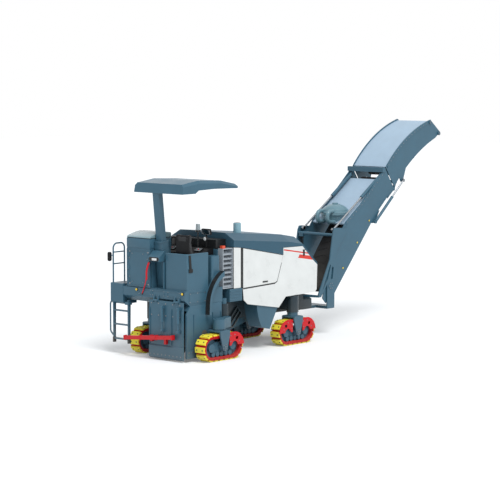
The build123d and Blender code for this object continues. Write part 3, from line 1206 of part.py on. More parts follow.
# Upper section, curved up to the throwing end, hinged on the lower one
with BuildPart() as upper_trough:
    for y in (TROUGH_HALF, TROUGH_WALL - TROUGH_HALF):
        with BuildSketch(side(y)):
            with BuildLine():
                low = ThreePointArc((FOLD_X + 12, 3290), (3790, 3960), (4640, 4400))
                tip = Line(low @ 1, (4840, 4540))
                top = Line(tip @ 1, (4430, 4850))
                high = ThreePointArc(top @ 1, (3480, 4450), (2660, 3770))
                Line(high @ 1, low @ 0)
            make_face()
        extrude(amount=TROUGH_WALL)
    for x, z in ((3070, 3400), (3760, 3975), (4560, 4410)):
        with Locations(Location((x, 0, z), (90, 0, 0))):
            Cylinder(CROSS_TUBE_R, 2 * TROUGH_HALF)
    for x, z in (upper_run[0], upper_run[-1]):
        with Locations(Location((x, 0, z), (90, 0, 0))):
            Cylinder(PULLEY_R, 2 * BELT_HALF + 40)
            Cylinder(CROSS_TUBE_R, 2 * TROUGH_HALF)
    for y in (-1, 1):
        with BuildSketch(side(TROUGH_HALF if y > 0 else TROUGH_WALL - TROUGH_HALF)):
            with BuildLine():
                Polyline((FOLD_EYE[0] - 40, FOLD_EYE[1] - 35), (FOLD_EYE[0] + 45, FOLD_EYE[1] - 35),
                         (FOLD_EYE[0] + 170, FOLD_EYE[1] + 300), (FOLD_EYE[0] - 110, FOLD_EYE[1] + 120),
                         close=True)
            make_face()
        extrude(amount=TROUGH_WALL)
        with Locations(Location((FOLD_EYE[0], y * FOLD_LUG_Y, FOLD_EYE[1]), (90, 0, 0))):
            Cylinder(FOLD_LUG_R, FOLD_LUG)
        eye_y = TROUGH_HALF - TROUGH_WALL if y > 0 else 2 * TROUGH_WALL - TROUGH_HALF
        with BuildSketch(side(eye_y)):
            with Locations((FOLD_X, FOLD_Z)):
                Circle(HINGE_EYE_R)
            with BuildLine():
                Polyline((FOLD_X - 38, FOLD_Z + 18), (FOLD_X + 30, 3380), (FOLD_X + 130, 3400),
                         (FOLD_X + 34, FOLD_Z - 24), close=True)
            make_face()
            with Locations((FOLD_X, FOLD_Z)):
                Circle(HINGE_PIN_R + RUN_GAP, mode=Mode.SUBTRACT)
        extrude(amount=TROUGH_WALL)
        with BuildSketch(side(y * (TROUGH_HALF + STRIP / 2) + STRIP / 2)):
            with BuildLine():
                edge = ThreePointArc((4430, 4850), (3480, 4450), (2700, 3805))
                end = Line(edge @ 1, (2730, 3745))
                under = ThreePointArc(end @ 1, (3515, 4375), (4450, 4775))
                Line(under @ 1, edge @ 0)
            make_face()
        extrude(amount=STRIP)
        for x, z in ((4400, 4790), (4770, 4505)):
            with Locations(Location((x, y * (TROUGH_HALF + 16), z), (90, 0, 0))):
                Cylinder(44, 32)
keep(upper_trough, "upper_trough")

with BuildPart() as upper_belt:
    with BuildSketch(side(BELT_HALF)):
        for reach, mode in ((BELT_R, Mode.ADD), (BELT_R - BELT_THICK, Mode.SUBTRACT)):
            with BuildLine():
                ThreePointArc(*upper_run)
                offset(amount=reach, side=Side.BOTH, mode=Mode.REPLACE)
            make_face(mode=mode)
    extrude(amount=2 * BELT_HALF)
keep(upper_belt, "upper_belt")

with BuildPart() as upper_cover:
    with BuildSketch(side(TROUGH_HALF - TROUGH_WALL)):
        with BuildLine():
            high = ThreePointArc((4420, 4815), (3475, 4415), (2700, 3770))
            end = Line(high @ 1, (2720, 3745))
            low = ThreePointArc(end @ 1, (3492, 4388), (4428, 4785))
            Line(low @ 1, high @ 0)
        make_face()
    extrude(amount=2 * (TROUGH_HALF - TROUGH_WALL))
keep(upper_cover, "upper_cover")

# Lift cylinders between the cross beam and the yoke's mast heads
LIFT_R = 40
LIFT_ROD_R = 22
lift_dx = ANCHOR_X - LIFT_TOP_X
lift_dz = ANCHOR_Z - LIFT_TOP_Z
lift_length = hypot(lift_dx, lift_dz)
BARREL_LENGTH = 900
lift_axis = (lift_dx / lift_length, 0, lift_dz / lift_length)
with BuildPart() as lift_barrels:
    for y in (-ROD_Y, ROD_Y):
        top = Plane((LIFT_TOP_X, y, LIFT_TOP_Z), x_dir=(0, 1, 0), z_dir=lift_axis)
        with BuildSketch(top.offset(ROD_LUG_R + 6)):
            Circle(LIFT_R)
        extrude(amount=BARREL_LENGTH - ROD_LUG_R - 6)
        with BuildSketch(top.offset(ROD_BOSS_R + 20)):
            Circle(LIFT_ROD_R + RUN_GAP)
        extrude(amount=BARREL_LENGTH, mode=Mode.SUBTRACT)
        with Locations(Location((LIFT_TOP_X, y, LIFT_TOP_Z), (90, 0, 0))):
            Cylinder(ROD_BOSS_R, ROD_BOSS)
keep(lift_barrels, "lift_barrels")

with BuildPart() as lift_rods:
    for y in (-ROD_Y, ROD_Y):
        top = Plane((LIFT_TOP_X, y, LIFT_TOP_Z), x_dir=(0, 1, 0), z_dir=lift_axis)
        with BuildSketch(top.offset(BARREL_LENGTH - 350)):
            Circle(LIFT_ROD_R)
        extrude(amount=lift_length - BARREL_LENGTH + 350 - LIFT_ROD_R)
        with Locations(Location((ANCHOR_X, y, ANCHOR_Z), (90, 0, 0))):
            Cylinder(ROD_BOSS_R, ROD_BOSS)
keep(lift_rods, "lift_rods")

# Fold cylinders outside the side plates, under the fold
FOLD_BARREL = 860
FOLD_INSIDE = 150
fold_dx = FOLD_EYE[0] - FOLD_BASE[0]
fold_dz = FOLD_EYE[1] - FOLD_BASE[1]
fold_length = hypot(fold_dx, fold_dz)
fold_axis = (fold_dx / fold_length, 0, fold_dz / fold_length)
with BuildPart() as fold_barrels:
    for y in (-FOLD_Y, FOLD_Y):
        base = Plane((FOLD_BASE[0], y, FOLD_BASE[1]), x_dir=(0, 1, 0), z_dir=fold_axis)
        with BuildSketch(base.offset(FOLD_LUG_R + 6)):
            Circle(FOLD_R)
        extrude(amount=FOLD_BARREL - FOLD_LUG_R - 6)
        with BuildSketch(base.offset(FOLD_R + 26)):
            Circle(FOLD_ROD_R + RUN_GAP)
        extrude(amount=FOLD_BARREL, mode=Mode.SUBTRACT)
        with Locations(Location((FOLD_BASE[0], y, FOLD_BASE[1]), (90, 0, 0))):
            Cylinder(FOLD_R + 4, FOLD_BOSS)
keep(fold_barrels, "fold_barrels")

with BuildPart() as fold_rods:
    for y in (-FOLD_Y, FOLD_Y):
        base = Plane((FOLD_BASE[0], y, FOLD_BASE[1]), x_dir=(0, 1, 0), z_dir=fold_axis)
        with BuildSketch(base.offset(FOLD_BARREL - FOLD_INSIDE)):
            Circle(FOLD_ROD_R)
        extrude(amount=fold_length - FOLD_BARREL + FOLD_INSIDE - FOLD_ROD_R)
        with Locations(Location((FOLD_EYE[0], y, FOLD_EYE[1]), (90, 0, 0))):
            Cylinder(FOLD_R + 4, FOLD_BOSS)
keep(fold_rods, "fold_rods")

os.makedirs("parts", exist_ok=True)
for piece in finished:
    export_step(piece, "parts/" + piece.label + ".step")
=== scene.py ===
"""Looks of a compact cold planer: paint, rubber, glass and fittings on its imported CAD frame."""
import math

import bmesh
import bpy
from mathutils import Matrix, Vector
from mathutils.bvhtree import BVHTree


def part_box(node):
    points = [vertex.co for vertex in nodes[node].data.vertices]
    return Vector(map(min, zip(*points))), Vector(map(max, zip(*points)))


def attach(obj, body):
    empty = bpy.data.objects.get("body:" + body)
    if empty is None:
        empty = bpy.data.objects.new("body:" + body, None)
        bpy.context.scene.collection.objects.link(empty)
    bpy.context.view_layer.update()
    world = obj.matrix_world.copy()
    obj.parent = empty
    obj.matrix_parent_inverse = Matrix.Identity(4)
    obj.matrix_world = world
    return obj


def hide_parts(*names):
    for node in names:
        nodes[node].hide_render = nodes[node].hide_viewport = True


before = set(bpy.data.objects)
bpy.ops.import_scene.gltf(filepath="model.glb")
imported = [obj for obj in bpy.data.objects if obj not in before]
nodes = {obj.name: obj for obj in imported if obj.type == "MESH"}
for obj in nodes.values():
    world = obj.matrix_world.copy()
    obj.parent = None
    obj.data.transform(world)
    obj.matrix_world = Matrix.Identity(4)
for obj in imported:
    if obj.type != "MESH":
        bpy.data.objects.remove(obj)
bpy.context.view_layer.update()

# The photo's viewpoint. A long lens stands far behind the machine's right rear corner,
# at about twice head height, and looks slightly down.
CAMERA_PLACE = (-33.733, -28.091, 6.238)
CAMERA_LOOK = (0.7489, 0.6556, -0.0970)
CAMERA_LENS = 138.8
CAMERA_SENSOR = 36
CAMERA_REACH = 300

scene = bpy.context.scene
camera = bpy.data.objects.new("camera", bpy.data.cameras.new("camera"))
scene.collection.objects.link(camera)
camera.location = CAMERA_PLACE
camera.rotation_euler = Vector(CAMERA_LOOK).to_track_quat("-Z", "Y").to_euler()
camera.data.lens = CAMERA_LENS
camera.data.sensor_width = CAMERA_SENSOR
camera.data.clip_end = CAMERA_REACH
scene.camera = camera
scene.view_settings.view_transform = "Standard"

# The studio: a pale seamless floor under soft light from above and from the machine's right.
# The floor and the world are white only where the camera, gloss or glass sees them directly.
FLOOR_HALF = 90
FLOOR_TINT = (0.82, 0.83, 0.84, 1)
FLOOR_ROUGH = 0.95
FLOOR_GLOSS = 0.1
FLOOR_LIFT = 0.16
SKY_TINT = (0.95, 0.98, 1.0, 1)
SKY_LIGHT = 0.62
SUN_LIGHT = 2.1
SUN_FROM = (-0.25, -0.62, 1.0)
SUN_SOFTNESS = math.radians(28)


def seen_directly(tree):
    """1 where the camera, a reflection or a view through glass meets the surface."""
    path = tree.nodes.new("ShaderNodeLightPath")
    first = tree.nodes.new("ShaderNodeMath")
    first.operation = "MAXIMUM"
    second = tree.nodes.new("ShaderNodeMath")
    second.operation = "MAXIMUM"
    tree.links.new(path.outputs["Is Camera Ray"], first.inputs[0])
    tree.links.new(path.outputs["Is Glossy Ray"], first.inputs[1])
    tree.links.new(first.outputs[0], second.inputs[0])
    tree.links.new(path.outputs["Is Transmission Ray"], second.inputs[1])
    return second.outputs[0]


world = bpy.data.worlds.new("studio")
scene.world = world
world.use_nodes = True
sky = world.node_tree
sky_lit = sky.nodes["Background"]
sky_lit.inputs["Color"].default_value = SKY_TINT
sky_lit.inputs["Strength"].default_value = SKY_LIGHT
sky_white = sky.nodes.new("ShaderNodeBackground")
sky_white.inputs["Color"].default_value = (1, 1, 1, 1)
sky_white.inputs["Strength"].default_value = 1
sky_mix = sky.nodes.new("ShaderNodeMixShader")
sky.links.new(seen_directly(sky), sky_mix.inputs["Fac"])
sky.links.new(sky_lit.outputs[0], sky_mix.inputs[1])
sky.links.new(sky_white.outputs[0], sky_mix.inputs[2])
sky.links.new(sky_mix.outputs[0], sky.nodes["World Output"].inputs["Surface"])

floor_mesh = bpy.data.meshes.new("floor")
floor_corners = [(-FLOOR_HALF, -FLOOR_HALF, 0), (FLOOR_HALF, -FLOOR_HALF, 0),
                 (FLOOR_HALF, FLOOR_HALF, 0), (-FLOOR_HALF, FLOOR_HALF, 0)]
floor_mesh.from_pydata(floor_corners, [], [(0, 1, 2, 3)])
floor = bpy.data.objects.new("floor", floor_mesh)
scene.collection.objects.link(floor)
floor_paint = bpy.data.materials.new("floor")
floor_paint.use_nodes = True
floor_tree = floor_paint.node_tree
floor_shader = floor_tree.nodes["Principled BSDF"]
floor_shader.inputs["Base Color"].default_value = FLOOR_TINT
floor_shader.inputs["Roughness"].default_value = FLOOR_ROUGH
floor_shader.inputs["Specular IOR Level"].default_value = FLOOR_GLOSS
floor_glow = floor_tree.nodes.new("ShaderNodeEmission")
floor_glow.inputs["Strength"].default_value = FLOOR_LIFT
floor_none = floor_tree.nodes.new("ShaderNodeEmission")
floor_none.inputs["Strength"].default_value = 0
floor_pick = floor_tree.nodes.new("ShaderNodeMixShader")
floor_add = floor_tree.nodes.new("ShaderNodeAddShader")
floor_tree.links.new(seen_directly(floor_tree), floor_pick.inputs["Fac"])
floor_tree.links.new(floor_none.outputs[0], floor_pick.inputs[1])
floor_tree.links.new(floor_glow.outputs[0], floor_pick.inputs[2])
floor_tree.links.new(floor_shader.outputs[0], floor_add.inputs[0])
floor_tree.links.new(floor_pick.outputs[0], floor_add.inputs[1])
floor_tree.links.new(floor_add.outputs[0], floor_tree.nodes["Material Output"].inputs["Surface"])
floor.data.materials.append(floor_paint)

sun = bpy.data.objects.new("sun", bpy.data.lights.new("sun", "SUN"))
scene.collection.objects.link(sun)
sun.rotation_euler = Vector(SUN_FROM).to_track_quat("Z", "Y").to_euler()
sun.data.energy = SUN_LIGHT
sun.data.angle = SUN_SOFTNESS

# The crawler tracks: forged chain links and shoe plates in red paint, each shoe with a bolted
# yellow polyurethane pad that wears dull and dusty where it meets the road.
PAD_YELLOW = (0.88, 0.76, 0.06, 1)
CHAIN_RED = (0.52, 0.006, 0.010, 1)
ROAD_DUST = (0.20, 0.185, 0.16, 1)
PEEL_DEPTH = 0.002
CLEAR_ROUGH = 0.18
TREAD_RADIUS = 0.283
LOOP_HALF = 0.327
PAD_DEPTH = 0.030


def math_node(tree, operation, first, second=0.0):
    """A Math node on two sockets or numbers."""
    node = tree.nodes.new("ShaderNodeMath")
    node.operation = operation
    for socket, value in zip(node.inputs, (first, second)):
        if isinstance(value, (int, float)):
            socket.default_value = value
        else:
            tree.links.new(value, socket)
    return node.outputs[0]


def noise(tree, place, scale, detail=3.0):
    """Even noise over the object's own coordinates."""
    node = tree.nodes.new("ShaderNodeTexNoise")
    node.inputs["Scale"].default_value = scale
    node.inputs["Detail"].default_value = detail
    tree.links.new(place, node.inputs["Vector"])
    return node.outputs["Fac"]


def tint_mix(tree, mask, low, high):
    """Blends two colours, sockets or values, by a mask."""
    node = tree.nodes.new("ShaderNodeMix")
    node.data_type = "RGBA"
    tree.links.new(mask, node.inputs[0])
    for socket, value in ((node.inputs[6], low), (node.inputs[7], high)):
        if isinstance(value, tuple):
            socket.default_value = value
        else:
            tree.links.new(value, socket)
    return node.outputs[2]


def ramp(tree, value, low, high):
    """0 below low, 1 above high, even between."""
    node = tree.nodes.new("ShaderNodeMapRange")
    node.inputs["From Min"].default_value = low
    node.inputs["From Max"].default_value = high
    tree.links.new(value, node.inputs["Value"])
    return node.outputs["Result"]


def span(tree, first, second):
    """The straight distance that two offsets at right angles make."""
    squares = [math_node(tree, "MULTIPLY", offset, offset) for offset in (first, second)]
    return math_node(tree, "SQRT", math_node(tree, "ADD", *squares))


def new_group(name, inputs, outputs):
    """A shader node group with named sockets, its input node and its output node."""
    group = bpy.data.node_groups.new(name, "ShaderNodeTree")
    for label, kind in inputs:
        group.interface.new_socket(label, in_out="INPUT", socket_type=kind)
    for label, kind in outputs:
        group.interface.new_socket(label, in_out="OUTPUT", socket_type=kind)
    return group, group.nodes.new("NodeGroupInput"), group.nodes.new("NodeGroupOutput")


# Paint film: small drifts of tone, a fine orange-peel height and dust that thins out with height.
paint_film, film_in, film_out = new_group(
    "paint_film",
    (("Paint", "NodeSocketColor"), ("Dust", "NodeSocketColor"), ("Dusty", "NodeSocketFloat"),
     ("Dust Top", "NodeSocketFloat"), ("Roughness", "NodeSocketFloat")),
    (("Color", "NodeSocketColor"), ("Roughness", "NodeSocketFloat"), ("Height", "NodeSocketFloat")))
film_place = paint_film.nodes.new("ShaderNodeTexCoord").outputs["Object"]
film_split = paint_film.nodes.new("ShaderNodeSeparateXYZ")
paint_film.links.new(film_place, film_split.inputs[0])
film_blotch = noise(paint_film, film_place, 3.1, 5.0)
film_grit = noise(paint_film, film_place, 46.0, 2.0)
film_peel = noise(paint_film, film_place, 160.0, 1.0)
film_low = math_node(paint_film, "DIVIDE", film_split.outputs["Z"], film_in.outputs["Dust Top"])
film_fade = math_node(paint_film, "SUBTRACT", 1.0, film_low)
film_speck = math_node(paint_film, "ADD", film_blotch, film_grit)
film_patch = math_node(paint_film, "MULTIPLY", film_fade, film_speck)
film_mask = math_node(paint_film, "MULTIPLY", math_node(paint_film, "MAXIMUM", film_patch, 0.0),
                      film_in.outputs["Dusty"])
film_mask = math_node(paint_film, "MINIMUM", film_mask, 1.0)
film_tone = paint_film.nodes.new("ShaderNodeHueSaturation")
paint_film.links.new(film_in.outputs["Paint"], film_tone.inputs["Color"])
film_value = math_node(paint_film, "MULTIPLY", film_blotch, 0.22)
film_value = math_node(paint_film, "ADD", film_value, 0.89)
paint_film.links.new(film_value, film_tone.inputs["Value"])
paint_film.links.new(tint_mix(paint_film, film_mask, film_tone.outputs[0], film_in.outputs["Dust"]),
                     film_out.inputs["Color"])
film_rough = math_node(paint_film, "SUBTRACT", film_blotch, 0.5)
film_rough = math_node(paint_film, "MULTIPLY", film_rough, 0.25)
film_rough = math_node(paint_film, "ADD", film_rough, film_in.outputs["Roughness"])
film_rough = math_node(paint_film, "ADD", film_rough,
                       math_node(paint_film, "MULTIPLY", film_mask, 0.35))
paint_film.links.new(film_rough, film_out.inputs["Roughness"])
paint_film.links.new(film_peel, film_out.inputs["Height"])


def new_material(name, roughness=0.5, metallic=0.0, coat=0.0, specular=0.3):
    """A material, its tree and its Principled shader with constants on the sockets."""
    material = bpy.data.materials.new(name)
    material.use_nodes = True
    shader = material.node_tree.nodes["Principled BSDF"]
    shader.inputs["Roughness"].default_value = roughness
    shader.inputs["Metallic"].default_value = metallic
    shader.inputs["Coat Weight"].default_value = coat
    shader.inputs["Specular IOR Level"].default_value = specular
    shader.inputs["Coat Roughness"].default_value = CLEAR_ROUGH
    return material, material.node_tree, shader


def bump(tree, shader, height, strength, distance):
    """Sends a height through a Bump node to the shader's normal."""
    node = tree.nodes.new("ShaderNodeBump")
    node.inputs["Strength"].default_value = strength
    node.inputs["Distance"].default_value = distance
    tree.links.new(height, node.inputs["Height"])
    tree.links.new(node.outputs["Normal"], shader.inputs["Normal"])


def film_on(tree, shader, colour, dusty, dust_top, roughness, strength=0.12):
    """Lays the paint film over a colour or a socket; with no strength it has no height."""
    node = tree.nodes.new("ShaderNodeGroup")
    node.node_tree = paint_film
    if isinstance(colour, tuple):
        node.inputs["Paint"].default_value = colour
    else:
        tree.links.new(colour, node.inputs["Paint"])
    node.inputs["Dust"].default_value = ROAD_DUST
    node.inputs["Dusty"].default_value = dusty
    node.inputs["Dust Top"].default_value = dust_top
    node.inputs["Roughness"].default_value = roughness
    tree.links.new(node.outputs["Color"], shader.inputs["Base Color"])
    tree.links.new(node.outputs["Roughness"], shader.inputs["Roughness"])
    if strength:
        bump(tree, shader, node.outputs["Height"], strength, PEEL_DEPTH)


def painted(name, colour, dusty=0.35, dust_top=1.1, roughness=0.36, coat=0.1, specular=0.3):
    """Sprayed machine paint with a little road dust low down."""
    material, tree, shader = new_material(name, coat=coat, specular=specular)
    film_on(tree, shader, colour, dusty, dust_top, roughness)
    return material


def dress(material, *names):
    """Puts one material on whole CAD nodes."""
    for name in names:
        node = nodes[name]
        node.data.materials.clear()
        node.data.materials.append(material)


def own_place(tree):
    """The surface point in the object's own coordinates, split."""
    split = tree.nodes.new("ShaderNodeSeparateXYZ")
    tree.links.new(tree.nodes.new("ShaderNodeTexCoord").outputs["Object"], split.inputs[0])
    return split.outputs


def own_facing(tree):
    """The way that the flat surface itself looks, split."""
    split = tree.nodes.new("ShaderNodeSeparateXYZ")
    geometry = tree.nodes.new("ShaderNodeNewGeometry")
    tree.links.new(geometry.outputs["True Normal"], split.inputs[0])
    return split.outputs


def middle(name):
    """The centre of a CAD node's box."""
    low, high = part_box(name)
    return (low + high) / 2


def finish_piece(name, shape, material, body, crease=35):
    """Turns a bmesh into a shaded piece that rides a CAD body."""
    mesh = bpy.data.meshes.new(name)
    shape.to_mesh(mesh)
    shape.free()
    for polygon in mesh.polygons:
        polygon.use_smooth = True
    mesh.set_sharp_from_angle(angle=math.radians(crease))
    mesh.materials.append(material)
    piece = bpy.data.objects.new(name, mesh)
    scene.collection.objects.link(piece)
    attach(piece, body)


def aimed(place, facing, spin=0.0):
    """A matrix at a place with its Z axis along facing."""
    turn = Vector(facing).to_track_quat("Z", "Y").to_matrix().to_4x4()
    return Matrix.Translation(Vector(place)) @ turn @ Matrix.Rotation(spin, 4, "Z")


def disc(shape, place, facing, radius, depth, top=None, segments=20):
    """A short closed cylinder or cone frustum standing on a place."""
    centre = aimed(place, facing) @ Matrix.Translation((0, 0, depth / 2))
    bmesh.ops.create_cone(shape, cap_ends=True, segments=segments, radius1=radius,
                          radius2=radius if top is None else top, depth=depth, matrix=centre)


def bolts(name, places, radius, material, body):
    """Hexagon heads with their washers, as one piece; places are (point, facing) pairs."""
    shape = bmesh.new()
    for number, (place, facing) in enumerate(places):
        lift = Vector(facing).normalized()
        spot = Vector(place)
        disc(shape, spot, facing, radius * 1.55, radius * 0.22, segments=14)
        head = aimed(spot + lift * radius * 0.22, facing, number * 0.37)
        bmesh.ops.create_cone(shape, cap_ends=False, segments=6, radius1=radius * 1.12,
                              radius2=radius * 1.12, depth=radius * 0.6,
                              matrix=head @ Matrix.Translation((0, 0, radius * 0.3)))
        bmesh.ops.create_cone(shape, cap_ends=True, segments=6, radius1=radius * 1.12,
                              radius2=radius * 0.9, depth=radius * 0.14,
                              matrix=head @ Matrix.Translation((0, 0, radius * 0.67)))
    finish_piece(name, shape, material, body, 25)


def bolt_circle(centre, y, side_y, radius, count, start=0.0):
    """Bolt places evenly round an X and Z centre, on a face that looks along Y."""
    angles = [start + number * math.tau / count for number in range(count)]
    return [((centre[0] + radius * math.cos(angle), y, centre[1] + radius * math.sin(angle)),
             (0, side_y, 0)) for angle in angles]


CHAIN_RADIUS = 0.241
SHOE_COUNT = 18
PAD_FOOT = TREAD_RADIUS - PAD_DEPTH
PAD_SHARE = 0.365
PAD_BOLT_Y = 0.078
PAD_WASHER = (0.017, 0.0016)
UNDERSIDE_FROM = 2.7
STEEL_DARK = (0.10, 0.10, 0.105, 1)
UNSEEN_BELOW = -0.75
track_corners = ("front_right", "front_left", "rear_right", "rear_left")
dark_steel, tree, shader = new_material("dark_steel", metallic=0.9)
film_on(tree, shader, STEEL_DARK, 0.3, 0.8, 0.42, 0.1)
chain_path = 4 * LOOP_HALF + 2 * math.pi * CHAIN_RADIUS
for corner in track_corners:
    centre = middle("track_" + corner)
    material, tree, shader = new_material("track_" + corner, specular=0.18)
    place = own_place(tree)
    off_x = math_node(tree, "SUBTRACT", place["X"], centre.x)
    along = math_node(tree, "SUBTRACT", math_node(tree, "ABSOLUTE", off_x), LOOP_HALF)
    along = math_node(tree, "MAXIMUM", along, 0.0)
    above = math_node(tree, "SUBTRACT", place["Z"], TREAD_RADIUS)
    pad_mask = ramp(tree, span(tree, along, above), PAD_FOOT + 0.0005, PAD_FOOT + 0.002)
    turned = math_node(tree, "ARCTAN2", along, above)
    straight = math_node(tree, "MINIMUM", math_node(tree, "MAXIMUM", off_x, -LOOP_HALF), LOOP_HALF)
    way = math_node(tree, "MULTIPLY", math_node(tree, "SIGN", off_x),
                    math_node(tree, "MULTIPLY", turned, CHAIN_RADIUS))
    way = math_node(tree, "ADD", math_node(tree, "ADD", straight, LOOP_HALF), way)
    shoe = math_node(tree, "ADD", way, chain_path)
    shoe = math_node(tree, "DIVIDE", shoe, chain_path / SHOE_COUNT)
    shoe = math_node(tree, "SUBTRACT", math_node(tree, "FRACT", shoe), 0.5)
    on_pad = math_node(tree, "LESS_THAN", math_node(tree, "ABSOLUTE", shoe), PAD_SHARE)
    below = math_node(tree, "GREATER_THAN", turned, UNDERSIDE_FROM)
    on_pad = math_node(tree, "MAXIMUM", on_pad, below)
    pad_mask = math_node(tree, "MULTIPLY", pad_mask, on_pad)
    film_on(tree, shader, tint_mix(tree, pad_mask, CHAIN_RED, PAD_YELLOW), 0.22, 0.40, 0.5, 0.4)
    dress(material, "track_" + corner)
    shape = bmesh.new()
    for number in range(SHOE_COUNT):
        way = (number + 0.5) * chain_path / SHOE_COUNT
        turn = math.pi * CHAIN_RADIUS
        if way < 2 * LOOP_HALF:
            x, angle = way - LOOP_HALF, math.pi / 2
        elif way < 2 * LOOP_HALF + turn:
            angle = math.pi / 2 - (way - 2 * LOOP_HALF) / CHAIN_RADIUS
            x = LOOP_HALF
        elif way < 4 * LOOP_HALF + turn:
            continue
        else:
            angle = -math.pi / 2 - (way - 4 * LOOP_HALF - turn) / CHAIN_RADIUS
            x = -LOOP_HALF
        facing = Vector((math.cos(angle), 0, math.sin(angle)))
        if facing.z < UNSEEN_BELOW:
            continue
        for side_y in (-PAD_BOLT_Y, PAD_BOLT_Y):
            spot = Vector((centre.x + x, centre.y + side_y, TREAD_RADIUS))
            spot += facing * (TREAD_RADIUS - 0.0004)
            disc(shape, spot, facing, *PAD_WASHER, segments=16)
            disc(shape, spot + facing * PAD_WASHER[1], facing, 0.0105, 0.004, 0.0098, segments=6)
    finish_piece("pad_bolts_" + corner, shape, dark_steel, corner + "_unit", 25)

# Track frames and guards: slate painted castings between the chains, with pressed red guards
# bolted outside them over the end wheels. Forks and the swing arm are the same slate castings.
SLATE = (0.046, 0.122, 0.178, 1)
GUARD_RED = (0.60, 0.004, 0.012, 1)
GUARD_PLANE = 0.140
GUARD_FROM = 0.155
GUARD_FACE = 0.1527
GUARD_BOLTS = ((0.20, 0.10), (0.20, 0.22), (0.33, 0.235), (0.47, 0.09))
FORK_FACE = 0.181
FORK_BOLT_R = 0.060
AXLE_FACE = 0.191
AXLE_BOLT_R = 0.025
BOLT_STEEL = (0.26, 0.28, 0.30, 1)

slate_low = painted("slate_low", SLATE, dusty=0.25, dust_top=0.9)
slate_paint = painted("slate_paint", SLATE, dusty=0.06, dust_top=1.6)
plated = painted("plated_bolts", BOLT_STEEL, dusty=0.15, dust_top=1.6, roughness=0.35, coat=0)
plated.node_tree.nodes["Principled BSDF"].inputs["Metallic"].default_value = 0.75
for corner in track_corners:
    centre = middle("track_" + corner)
    outward = 1 if centre.y > 0 else -1
    material, tree, shader = new_material("track_frame_" + corner, coat=0.06, specular=0.18)
    place = own_place(tree)
    beyond_side = math_node(tree, "ABSOLUTE", math_node(tree, "SUBTRACT", place["Y"], centre.y))
    beyond_side = math_node(tree, "GREATER_THAN", beyond_side, GUARD_PLANE)
    beyond_end = math_node(tree, "ABSOLUTE", math_node(tree, "SUBTRACT", place["X"], centre.x))
    beyond_end = math_node(tree, "GREATER_THAN", beyond_end, GUARD_FROM)
    guard_mask = math_node(tree, "MULTIPLY", beyond_side, beyond_end)
    film_on(tree, shader, tint_mix(tree, guard_mask, SLATE, GUARD_RED), 0.14, 0.7, 0.38)
    dress(material, "track_frame_" + corner)
    dress(slate_low, "leg_" + corner)
    hub = (centre.x, TREAD_RADIUS)
    spots = []
    for side_y in (-1, 1):
        spots += bolt_circle(hub, centre.y + side_y * FORK_FACE, side_y, FORK_BOLT_R, 6, 0.3)
        spots += bolt_circle(hub, centre.y + side_y * AXLE_FACE, side_y, AXLE_BOLT_R, 3, 0.5)
    for end in ((1,) if corner.startswith("rear") else (-1, 1)):
        spots += [((centre.x + end * x, centre.y + outward * GUARD_FACE, TREAD_RADIUS + z),
                   (0, outward, 0)) for x, z in GUARD_BOLTS]
    bolts("unit_bolts_" + corner, spots, 0.0085, plated, corner + "_unit")
dress(slate_low, "swing_arm")

# Main frame: box section rails and cross members of welded plate, in the darkest slate. The
# engine and its pumps hang between the rails on rubber mounts, painted black.
FRAME_DARK = (0.020, 0.036, 0.047, 1)
IRON_BLACK = (0.012, 0.013, 0.015, 1)
frame_dark = painted("frame_dark", FRAME_DARK, dusty=0.4, dust_top=1.0)
dress(frame_dark, "main_frame")
black_iron = painted("black_iron", IRON_BLACK, dusty=0.15, dust_top=1.6, roughness=0.5, coat=0)
dress(black_iron, "engine_block")

# Drum housing: welded plate with a bolted skid on the right side and the gear case on the left.
# Its bolts are plated, and dust of the cut lies on it up to the rails.
HOUSING_SIDE_Y = -0.933
SKID_BOLT_FROM = -4.64
SKID_BOLT_STEP = 0.115
SKID_BOLT_Z = 0.205
GEAR_FACE_Y = 0.285
GEAR_BOLT_R = 0.235
DRUM_AXIS = (-4.140, 0.545)
dress(slate_low, "drum_housing")
spots = bolt_circle(DRUM_AXIS, GEAR_FACE_Y, 1, GEAR_BOLT_R, 12)
spots += [((SKID_BOLT_FROM + number * SKID_BOLT_STEP, HOUSING_SIDE_Y, SKID_BOLT_Z), (0, -1, 0))
          for number in range(9)]
bolts("housing_bolts", spots, 0.011, plated, "chassis")

